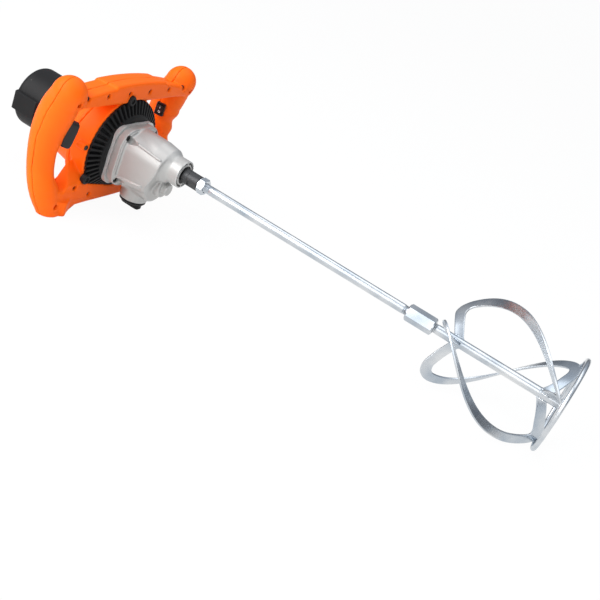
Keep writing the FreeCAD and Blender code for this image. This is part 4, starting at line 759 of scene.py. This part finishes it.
def castField(x, y, z):
    c = casting
    dz = z - frameMould["motorDrop"]
    f = c["flange"]
    flange = meet(roundedSquare(y, dz, f["half"], f["corner"]), slab(x, f["start"], f["end"]), 2)
    step = meet(roundedSquare(y, dz, f["half"] - 2.5, f["corner"] - 2),
                np.maximum(f["start"] - x, x - f["end"] - 1.6), 1.2)
    flange = np.minimum(flange, step)
    b = c["barrel"]
    share = ramp(x - b["start"], b["end"] - b["start"])
    half = b["back"] + (b["front"] - b["back"]) * share
    barrel = meet(roundedSquare(y, dz, half, b["corner"]), slab(x, b["start"] - 8, b["end"]), 2.5)
    browX, browZ, above, below = c["brow"]
    for slope in (above, below):  # the front leans forward above the lay boss and runs back under it
        barrel = meet(barrel, (x - browX - slope * (z - browZ)) / math.hypot(1, slope), 2)
    across = away(y, z)
    n = c["nose"]
    nose = drum(x, across, n["start"], n["end"], n["radius"], 0.9)
    reach = away(y - c["lay"][0], z - c["lay"][1])
    bulge = drum(x, reach, -99, -40, c["bulge"], 4)
    boss = drum(x, reach, -60, c["boss"][1], c["boss"][0], 2)
    stub = drum(x, reach, -60, c["stub"][1], c["stub"][0], 1.2)
    k = c["knob"]
    knobReach = away(x - k["x"], y - k["y"])
    knobBoss = drum(z, knobReach, k["foot"], -30, k["radius"], 1)
    stations, radii = np.transpose(c["crown"])
    crown = meet(across - np.interp(x, stations, radii), slab(x, stations[0], stations[-1]), 1)
    nose = melt(nose, crown, 1.5)
    solid = barrel
    for part, width in ((bulge, 3), (nose, 2.5), (boss, 2.5), (stub, 1.5), (knobBoss, 2.5), (flange, 2.5)):
        solid = melt(solid, part, width)
    for start, end in c["ribs"]:
        solid = melt(solid, limb(x, y, z, start, end, (2.2, 2.2), (1.9, 1.9)), 0.8)
    hole = None
    for sy in (-1, 1):
        for sz in (-1, 1):
            off = away(y - sy * c["screwSpan"], dz - sz * c["screwSpan"])
            tool = np.maximum(drum(x, off, -93, -70, 5.4, 0.6), off + 0.3 * (x + 92) - 8.5)
            hole = tool if hole is None else np.minimum(hole, tool)
    solid = carve(solid, hole, 1)
    inner, outer, depth, rib = c["groove"]
    ringCut = np.maximum(np.abs(across - (inner + outer) / 2) - (outer - inner) / 2, -depth - x)
    ringCut = np.maximum(ringCut, rib - np.minimum(np.abs(y), np.abs(z)))
    solid = carve(solid, ringCut, 0.3)
    r = c["room"]
    room = meet(roundedSquare(y, dz, r["half"], r["corner"]), slab(x, r["start"], r["end"]), 2)
    for name, station, off in (("lay", x, reach), ("spindle", x, across), ("knob", z, knobReach)):
        for start, end, radius in c["bores"][name]:
            room = np.minimum(room, drum(station, off, start, end, radius))
    return carve(solid, room, 0.4)


addPiece("gearCasting", skin(castField, *casting["box"], casting["step"]), "drill_body", "cast_aluminium",
         "gear_housing", sharpAngle=50)


def ventSurface():
    # Ring by ring from the back edge over the ribbed cone to the collar. A ring's reach at an angle is its radius,
    # or less where the low planes stop it. Between two ribs the cone is pushed back by the slot's depth.
    v = ventRing
    edge, inner = v["radius"], v["collar"]
    profile = np.array([(-116.0, edge - 6), (-116.0, edge - 0.8), (-115.2, edge), (-112.6, edge), (-111.6, edge - 0.8),
                        (-104.4, 57.0), (-103.6, 55.2), (-103.6, 49.0), (-104.2, inner), (-112.0, inner)])
    lengths = np.concatenate([[0], np.cumsum(np.sqrt((np.diff(profile, axis=0) ** 2).sum(1)))])
    at = np.unique(np.concatenate([np.linspace(0, lengths[-1], 64), lengths]))
    x = np.interp(at, lengths, profile[:, 0])
    radius = np.interp(at, lengths, profile[:, 1])
    perSlot = v["perSlot"]
    count = v["slots"] * perSlot
    angles = roundTurn(count)
    lean = math.radians(v["floorLean"])
    below = -np.sin(angles) * math.cos(lean) + np.abs(np.cos(angles)) * math.sin(lean)
    limit = np.where(below > 0.3, v["floorDrop"] / np.maximum(below, 0.3), 200.0)
    squeeze = np.minimum(limit, edge - ringDip(angles))[None, :]
    share = (radius - inner)[:, None] / (edge - inner)
    reach = inner + share * (squeeze - inner)
    phase = (np.arange(count) % perSlot + 0.5) / perSlot
    gap = np.abs(phase - 0.5) < v["slotShare"] / 2
    onCone = (radius > v["slotFrom"]) & (radius < edge - 0.2) & (x > -114.5)
    grid = x[:, None] - v["slotDepth"] * gap[None, :] * onCone[:, None]
    points = np.stack([grid, reach * np.cos(angles), frameMould["motorDrop"] + reach * np.sin(angles)], axis=-1)
    return points.reshape(-1, 3), [gridFaces(len(x), count)[:, ::-1]]


lobes = []
for spot in lobeSpots:
    r = ventRing["lobeRadius"]
    face = ventRing["lobeFace"]
    lobes.append(turned(((-116, 0.5), (-116, r), (face - 1.2, r), (face, r - 1.2), (face, 4.4), (face - 0.6, 3.9),
                         (face - 3.5, 3.9), (face - 3.5, 0.5)), 40, spot))
addPiece("ventHousing", joined(ventSurface(), *lobes), "drill_body", "black_plastic", "vent_housing", sharpAngle=30)

capMould = {
    "radius": 46.8,
    "back": -290.0,
    "round": 9.0,
    "cover": {"half": 12.5, "rise": 6.2, "from": -288.5, "to": -238.0},
    "slots": 28,
}


def capSurface():
    # Radius by station and angle: a drum with a rounded rear rim, a shallow seam, flats over the two brush
    # covers, and air slots pushed into the rear face.
    c = capMould
    steps = 224
    angles = roundTurn(steps)
    rim = np.linspace(0, math.pi / 2, 10)
    x = [c["back"] + 7.5, c["back"] + 7.5, c["back"]] + [c["back"]] * 8
    r = [0.5, 11.0, 12.0] + list(np.linspace(14, c["radius"] - c["round"] - 1, 8))
    x += list(c["back"] + c["round"] * (1 - np.cos(rim)))
    r += list(c["radius"] - c["round"] * (1 - np.sin(rim)))
    wall = np.array([-280, -276, -272, -268, -264, -258, -252, -247, -243, -240, -238, -236, -233, -228.6, -228.2,
                     -227.2, -226.8, -222, -218, -215, -214.2, -214, -214, -222])
    x += list(wall)
    r += list(np.where((wall > -228.3) & (wall < -227.1), c["radius"] - 0.9, c["radius"]) - 0.8 * (wall >= -214.1))
    x = np.array(x)
    r = np.array(r)
    r[-2:] = c["radius"] - 3
    cover = c["cover"]
    y = np.abs(np.cos(angles))
    z = np.sin(angles)
    flat = (c["radius"] + cover["rise"]) / np.maximum(y, 0.2)
    inCover = ramp(cover["half"] + 1.5 - np.abs(c["radius"] * z), 1.5)
    share = ramp(x - cover["from"], 4) * ramp(cover["to"] - x, 4)
    raised = r[:, None] + np.maximum(np.minimum(flat, 60)[None, :] - c["radius"], 0) * inCover * share[:, None]
    radius = np.where((r > 42)[:, None] & (x < -230)[:, None], raised, r[:, None])
    slot = (np.arange(steps) * 2 * c["slots"] // steps) % 2
    onFace = (r > 17) & (r < 37) & (x < c["back"] + 0.1)
    grid = x[:, None] + 3.0 * onFace[:, None] * slot[None, :]
    points = np.stack([grid, radius * np.cos(angles), frameMould["motorDrop"] + radius * np.sin(angles)], axis=-1)
    return points.reshape(-1, 3), cappedGrid(len(x), steps)[:2]


addPiece("motorCap", capSurface(), "drill_body", "black_plastic", "motor_cap", sharpAngle=32)


def hexShell(stations):
    # Radius = the hexagon's, held under a chamfer cone at each station: stations give x and the greatest radius.
    angles = roundTurn(144)
    lean = (angles - math.radians(paddle["hexRoll"]) + math.pi / 6) % (math.pi / 3) - math.pi / 6
    sides = paddle["hex"] / 2 / np.cos(lean)
    stations = np.asarray(stations, dtype=float)
    radius = np.minimum(sides[None, :], stations[:, 1:2])
    return polarShell(stations[:, 0], radius, angles[None, :])


def threaded(start, end, outer, pitch, depth):
    # Profile points of a row of V grooves, one pitch apart.
    count = int((end - start) / pitch)
    x = start + np.arange(2 * count + 1) * pitch / 2
    return [(at, outer - depth * (number % 2)) for number, at in enumerate(x)]


paddle = {
    "rod": 7.0, "rodEnd": 616.0, "coupling": (384.0, 426.0), "nut": (28.5, 39.5), "hex": 22.0, "hexRoll": -25,
    "thread": {"pitch": 2.0, "outer": 6.95, "depth": 0.7}, "ring": (616.0, 66.6, 3.4),
    "blade": {"top": 441.0, "foot": 611.5, "wide": 78.0, "width": 13.0, "thick": 3.0, "twist": 0.762, "angle": -96.7},
}

rod, rodEnd = paddle["rod"], paddle["rodEnd"]
pitch, outer, depth = (paddle["thread"][key] for key in ("pitch", "outer", "depth"))
rodProfile = [(10, 0.5), (10, 6)] + threaded(11, 47, rod, pitch, 0.75) + [(47.5, 6.5), (48.5, rod)]
rodProfile += [(x, rod) for x in np.linspace(60, 370, 12)]
rodProfile += [(378, rod), (378.6, 6.4)] + threaded(379, 400, outer, pitch, depth) + [(404, 6.0), (404, 0.5)]
addPiece("upperRod", turned(rodProfile, 72), "spindle", "zinc_steel", "paddle_rod")

rodProfile = [(406, 0.5), (406, 6)] + threaded(407, 429, outer, pitch, depth) + [(430, 6.4), (430.6, rod)]
rodProfile += [(x, rod) for x in np.linspace(440, 610, 8)]
rodProfile += [(rodEnd - 1.2, rod), (rodEnd, 5.8), (rodEnd, 0.5)]
addPiece("lowerRod", turned(rodProfile, 72), "spindle", "zinc_steel", "paddle_lower_rod")

start, end = paddle["coupling"]
coupling = hexShell([(start + 1.2, 7.2), (start, 8.4), (start, 10.6), (start + 1.6, 12.8), (start + 2, 13),
                     (end - 2, 13), (end - 1.6, 12.8), (end, 10.6), (end, 8.4), (end - 1.2, 7.2)])
addPiece("rodCoupling", coupling, "spindle", "zinc_steel", "paddle_coupling", sharpAngle=20)

start, end = paddle["nut"]
nut = hexShell([(start, 7.2), (start, 11), (start + 1.3, 12.8), (start + 1.6, 13), (end - 1.6, 13),
                (end - 1.3, 12.8), (end, 11), (end, 8.3), (end - 1, 7.2)])
addPiece("lockNut", nut, "spindle", "zinc_steel", "lock_nut", sharpAngle=20)


def spindleHead():
    # Radius by station and angle: a stepped bar with two wrench flats and fine milled lines across them.
    steps = 144
    angles = roundTurn(steps)
    stations = [(-98, 0.5), (-98, 5), (-96, 5), (-96, 7.5), (-8, 7.5), (-2, 7.5), (0.5, 7.5), (0.5, 11), (1.2, 11.5),
                (9, 11.5), (9.4, 11.1), (10.4, 11.1), (10.8, 11.5), (11.8, 11.5)]
    stations += [(x, 11.5) for x in np.arange(12.0, 26.6, 0.45)] + [(27.2, 11.5), (28.5, 10.4), (28.5, 7.2)]
    stations = np.array(stations)
    radius = np.repeat(stations[:, 1:2], steps, axis=1)
    flats = (stations[:, 0] >= 11.9) & (stations[:, 0] <= 26.5)
    groove = 0.16 * (np.arange(len(stations)) % 2)
    flat = (9.5 - groove)[:, None] / np.maximum(np.abs(np.cos(angles - math.radians(215))), 0.05)[None, :]
    radius = np.where(flats[:, None], np.minimum(radius, flat), radius)
    return polarShell(stations[:, 0], radius, angles[None, :])


addPiece("spindleBar", spindleHead(), "spindle", "black_steel", "spindle", sharpAngle=30)


def bladeStrip(number):
    # The path runs out from the rod, down the side and back. Each of its points and the strip's edges beside it
    # lie on a helicoid, whose angle grows with x, and the strip's thickness is along the helicoid's normal.
    b = paddle["blade"]
    top, foot, wide = b["top"], b["foot"], b["wide"]
    path = smoothLine([
        (top + 21, 4), (top + 13, 20), (top + 6, 36), (top + 2, 50), (top + 5, 62), (top + 16, wide - 8.5),
        (top + 42, wide - 2.8), ((top + foot) / 2, wide), (foot - 41.5, wide - 2.8), (foot - 15.5, wide - 8.5),
        (foot - 3, 63), (foot - 0.5, 52), (foot - 5, 38), (foot - 12, 20), (foot - 20.5, 4),
    ], 180)
    along = np.gradient(path, axis=0)
    along /= np.linalg.norm(along, axis=1, keepdims=True)
    sideStep = np.stack([-along[:, 1], along[:, 0]], axis=1)
    half, thin, soft = b["width"] / 2, b["thick"] / 2, 0.6
    u = np.linspace(-half + soft, half - soft, 9)
    bow = np.linspace(0, math.pi / 2, 4)[1:-1]
    edgeU = half - soft + soft * np.sin(bow)
    edgeV = thin - soft + soft * np.cos(bow)
    profile = [(at, -thin) for at in u] + list(zip(edgeU, -edgeV)) + [(half, -thin + soft), (half, thin - soft)]
    profile += list(zip(edgeU[::-1], edgeV[::-1])) + [(at, thin) for at in u[::-1]]
    profile += list(zip(-edgeU, edgeV)) + [(-half, thin - soft), (-half, -thin + soft)]
    profile += list(zip(-edgeU[::-1], -edgeV[::-1]))
    profile = np.array(profile)
    flat = path[:, None] + sideStep[:, None] * profile[None, :, :1]
    x, r = flat[..., 0], flat[..., 1]
    twist = math.radians(b["twist"])
    angle = math.radians(b["angle"] + 120 * number) + twist * (x - top)
    point = np.stack([x, r * np.cos(angle), r * np.sin(angle)], axis=-1)
    normal = np.stack([r * twist, np.sin(angle), -np.cos(angle)], axis=-1)
    normal /= np.linalg.norm(normal, axis=-1, keepdims=True)
    point = point + normal * profile[None, :, 1:]
    return point.reshape(-1, 3), cappedGrid(*point.shape[:2])


def bladeWelds(number):
    # Runs along both faces of the strip where it stands on the rod, and one where it lies on the ring.
    b = paddle["blade"]
    twist = math.radians(b["twist"])
    base = math.radians(b["angle"] + 120 * number)
    runs = []
    for near, far in ((b["top"] + 12, b["top"] + 27), (b["foot"] - 27, b["foot"] - 12)):
        for hand in (-1, 1):
            x = np.linspace(near, far, 22)
            angle = base + twist * (x - b["top"]) + hand * 0.3
            reach = paddle["rod"] + 0.5
            runs.append(bead(np.stack([x, reach * np.cos(angle), reach * np.sin(angle)], axis=1), 1.7))
    angle = base + twist * (b["foot"] + 2 - b["top"]) + np.linspace(-0.11, 0.11, 16)
    reach = paddle["ring"][1] - 0.6
    x = np.full(16, paddle["ring"][0] - paddle["ring"][2] + 0.4)
    runs.append(bead(np.stack([x, reach * np.cos(angle), reach * np.sin(angle)], axis=1), 1.9))
    return runs


for number in range(3):
    addPiece(f"bladeStrip{number + 1}", joined(bladeStrip(number), *bladeWelds(number)), "spindle", "zinc_steel",
             f"mixing_blade_{number + 1}", sharpAngle=40)


def hoop(centreX, radius, wireRadius, thick=None, turns=160, sides=28):
    # A wire carried round the axis, round in section or, where it has a thickness along x, oval.
    around, section = roundTurn(turns), roundTurn(sides)
    r = radius + wireRadius * np.cos(section)[None, :]
    x = np.broadcast_to(centreX + (thick or wireRadius) * np.sin(section)[None, :], (turns, sides))
    points = np.stack([x, r * np.cos(around)[:, None], r * np.sin(around)[:, None]], axis=-1)
    return points.reshape(-1, 3), [gridFaces(turns, sides, wrapRows=True)]


addPiece("paddleRing", hoop(*paddle["ring"]), "spindle", "zinc_steel", "paddle_ring", sharpAngle=0)


def outwardOf(place):  # the level direction that a switch faces
    turn = math.radians(place["turn"])
    return np.array([math.cos(turn), math.sin(turn), 0])


triggerPad = {"half": (8.0, 6.0, 20.6), "reach": 28.6, "tilt": 8.0, "well": (3.8, 6.0, 7.0)}
middle = np.array(triggerPlace["centre"]) + triggerPad["reach"] * outwardOf(triggerPlace)
padShell, faces = softBlock(triggerPad["half"], 0.42, 36, 64)
# The back has a well for the return spring: the grid's points inside its outline are set forward by its depth.
wellWide, wellTall, wellDeep = triggerPad["well"]
inWell = (padShell[:, 0] < 0) & (np.abs(padShell[:, 1]) < wellWide) & (np.abs(padShell[:, 2]) < wellTall)
padShell[inWell, 0] += wellDeep
padShell = swung((padShell, faces), middle, triggerPlace["turn"], triggerPad["tilt"])
addPiece("triggerPad", padShell, "trigger", "switch_plastic", "trigger", sharpAngle=40)

rockerSwitch = {
    "lip": 23.0, "wide": 7.5, "tall": 10.5, "corner": 1.6, "tilt": 12.0, "key": (3.4, 5.1, 7.4),
    "border": ((0, 0), (0, 2.2), (-0.7, 3.0), (-1.7, 3.0), (-2.2, 2.4), (-2.2, -9), (-1.0, -9), (-1.0, 0)),
    "markPlace": (3.35, 0, 3.9), "stroke": (0.2, 0.45, 1.7), "circle": (1.6, 0.42, 0.2),
}
lipPlace = np.array(rockerPlace["centre"]) + rockerSwitch["lip"] * outwardOf(rockerPlace)
border = borderRing(rockerSwitch["wide"], rockerSwitch["tall"], rockerSwitch["corner"], rockerSwitch["border"])
addPiece("rockerBezel", swung(border, lipPlace, rockerPlace["turn"]), "drill_body", "switch_plastic", "rocker_bezel",
         sharpAngle=30)
key = swung(softBlock(rockerSwitch["key"], 0.25), lipPlace, rockerPlace["turn"], rockerSwitch["tilt"])
addPiece("rockerKey", key, "rocker", "switch_plastic", "rocker_button", sharpAngle=30)
stroke, strokeFaces = softBlock(rockerSwitch["stroke"], 0.3, 12, 24)
circle, circleFaces = hoop(0, *rockerSwitch["circle"], 40, 10)
ahead, aside, up = rockerSwitch["markPlace"]
marks = joined((stroke + (ahead, aside, up), strokeFaces), (circle + (ahead, aside, -up), circleFaces))
marks = swung(marks, lipPlace, rockerPlace["turn"], rockerSwitch["tilt"])
addPiece("rockerMarks", marks, "rocker", "switch_plastic", sharpAngle=30, look=paint)

selector = {"x": -73.8, "y": 8.0, "top": -80.3, "plate": -84.9, "radius": 20.5, "bar": (16.5, 5.6, 5.6)}
depth, radius = selector["top"] - selector["plate"], selector["radius"]
points, faces = turned(((0, 0.5), (0, radius - 0.6), (0.6, radius), (depth - 1.2, radius), (depth, radius - 1.2),
                        (depth, radius - 3), (depth - 0.5, radius - 3.4), (depth - 0.5, 0.5)), 96)
disc = np.stack([selector["x"] + points[:, 1], selector["y"] + points[:, 2], selector["top"] - points[:, 0]], axis=1)
bar = softBlock(selector["bar"], 0.35)
barPlace = (selector["x"], selector["y"], selector["plate"] - selector["bar"][2] + 1.4)
knob = joined((disc, [part[:, ::-1] for part in faces]), (bar[0] + barPlace, bar[1]))
addPiece("selectorKnob", knob, "gear_knob", "black_plastic", "gear_knob", sharpAngle=35)

half = casting["screwSpan"]
drop = frameMould["motorDrop"]
screwSets = (
    ("flangeScrews", "flange_screws", "hexagon",
     [((sy * half, drop + sz * half), -87.4, -92.0, -111.0, 4.6, 2.5) for sy in (-1, 1) for sz in (-1, 1)]),
    ("ventScrews", "vent_screws", "cross",
     [(spot, -109.6, -112.0, -130.0, 3.6, 2.0) for spot in lobeSpots]),
    ("frameScrews", "frame_screws", "cross",
     [((side * y, z), -114.6, -117.0, -129.0, 3.6, 2.0) for y, z in frameMould["screws"] for side in (-1, 1)]),
    ("capScrews", "cap_screws", "cross",
     [((43.25 * math.cos(a), drop + 43.25 * math.sin(a)), -279.4, -276.0, -208.0, 3.6, 2.0)
      for a in np.radians((45, 135, 225, 315))]),
)
for name, node, socket, screws in screwSets:
    shell = joined(*(screwShell(*screw, socket) for screw in screws))
    addPiece(name, shell, "drill_body", "screw_steel", node, sharpAngle=30)

for name, node in nodes.items():
    slotName = slotOf.get(name)
    if slotName is None:
        continue
    node.data.materials.clear()
    node.data.materials.append(finishes[slotName])
print("nodes dressed:", len(slotOf))


def aimed(back, up, place):  # a camera's or lamp's matrix: its third axis points back from what it looks at
    back = back / np.linalg.norm(back)
    side = np.cross(up, back)
    side /= np.linalg.norm(side)
    matrix = np.eye(4)
    matrix[:3, 0], matrix[:3, 1], matrix[:3, 2], matrix[:3, 3] = side, np.cross(back, side), back, place
    return Matrix(matrix.tolist())


view = {
    "place": (552.5, -1084.6, 491.3),
    "look": (-0.248, 0.859, -0.447),
    "up": (-0.516, 0.273, 0.811),
    "lens": 52.8,
    "sensor": 36.0,
}
camera = bpy.data.objects.new("photoCamera", bpy.data.cameras.new("photoCamera"))
bpy.context.scene.collection.objects.link(camera)
camera.matrix_world = aimed(-axes @ np.array(view["look"]), axes @ np.array(view["up"]), inFrame(view["place"]))
camera.data.sensor_width = view["sensor"]
camera.data.lens = view["lens"]
bpy.context.scene.camera = camera

floorLook = bpy.data.materials.new("paleFloor")
floorLook.use_nodes = True
tree = floorLook.node_tree
tree.nodes.clear()
out = tree.nodes.new("ShaderNodeOutputMaterial")
matte = tree.nodes.new("ShaderNodeBsdfDiffuse")
matte.inputs["Color"].default_value = (0.9, 0.9, 0.9, 1)
glow = tree.nodes.new("ShaderNodeEmission")
glow.inputs["Strength"].default_value = 1.0
rays = tree.nodes.new("ShaderNodeLightPath")
seen = mathNode(tree, "MAXIMUM", rays.outputs["Is Camera Ray"], rays.outputs["Is Glossy Ray"])
seen = mathNode(tree, "MAXIMUM", seen, rays.outputs["Is Transmission Ray"])
mixed = tree.nodes.new("ShaderNodeMixShader")
wire(tree, mathNode(tree, "MULTIPLY", seen, 0.95), mixed.inputs[0])
wire(tree, matte.outputs[0], mixed.inputs[1])
wire(tree, glow.outputs[0], mixed.inputs[2])
wire(tree, mixed.outputs[0], out.inputs["Surface"])
floorMesh = bpy.data.meshes.new("floor")
floorMesh.from_pydata([(-30, -30, 0), (30, -30, 0), (30, 30, 0), (-30, 30, 0)], [], [(0, 1, 2, 3)])
floorMesh.materials.append(floorLook)
floor = bpy.data.objects.new("floor", floorMesh)
bpy.context.scene.collection.objects.link(floor)

world = bpy.data.worlds.new("studio")
bpy.context.scene.world = world
world.use_nodes = True
tree = world.node_tree
tree.nodes.clear()
out = tree.nodes.new("ShaderNodeOutputWorld")
room = tree.nodes.new("ShaderNodeBackground")
where = tree.nodes.new("ShaderNodeTexCoord")
parts = tree.nodes.new("ShaderNodeSeparateXYZ")
wire(tree, where.outputs["Generated"], parts.inputs[0])
overhead = spreadMask(tree, parts.outputs["Z"], 0.15, 0.85)
wire(tree, blendColour(tree, overhead, (0.16, 0.17, 0.19), (0.72, 0.76, 0.82)), room.inputs["Color"])
wire(tree, room.outputs[0], out.inputs["Surface"])

lamps = (
    {"name": "keyPanel", "at": (-1.5, -1.5, 1.5), "aim": (-0.1, 0, 0.1), "size": (2.0, 2.0), "power": 60},
    {"name": "topPanel", "at": (0.2, 0.3, 2.1), "aim": (0, 0, 0), "size": (2.4, 1.2), "power": 12},
    {"name": "sidePanel", "at": (0.5, -2.1, 0.9), "aim": (0.1, 0, 0.1), "size": (3.4, 1.6), "power": 25},
)
for lamp in lamps:
    data = bpy.data.lights.new(lamp["name"], "AREA")
    data.shape = "RECTANGLE"
    data.size, data.size_y = lamp["size"]
    data.energy = lamp["power"]
    made = bpy.data.objects.new(lamp["name"], data)
    bpy.context.scene.collection.objects.link(made)
    made.matrix_world = aimed(np.subtract(lamp["at"], lamp["aim"]), (0, 0, 1), lamp["at"])
bpy.context.scene.view_settings.view_transform = "Standard"
print("studio set")
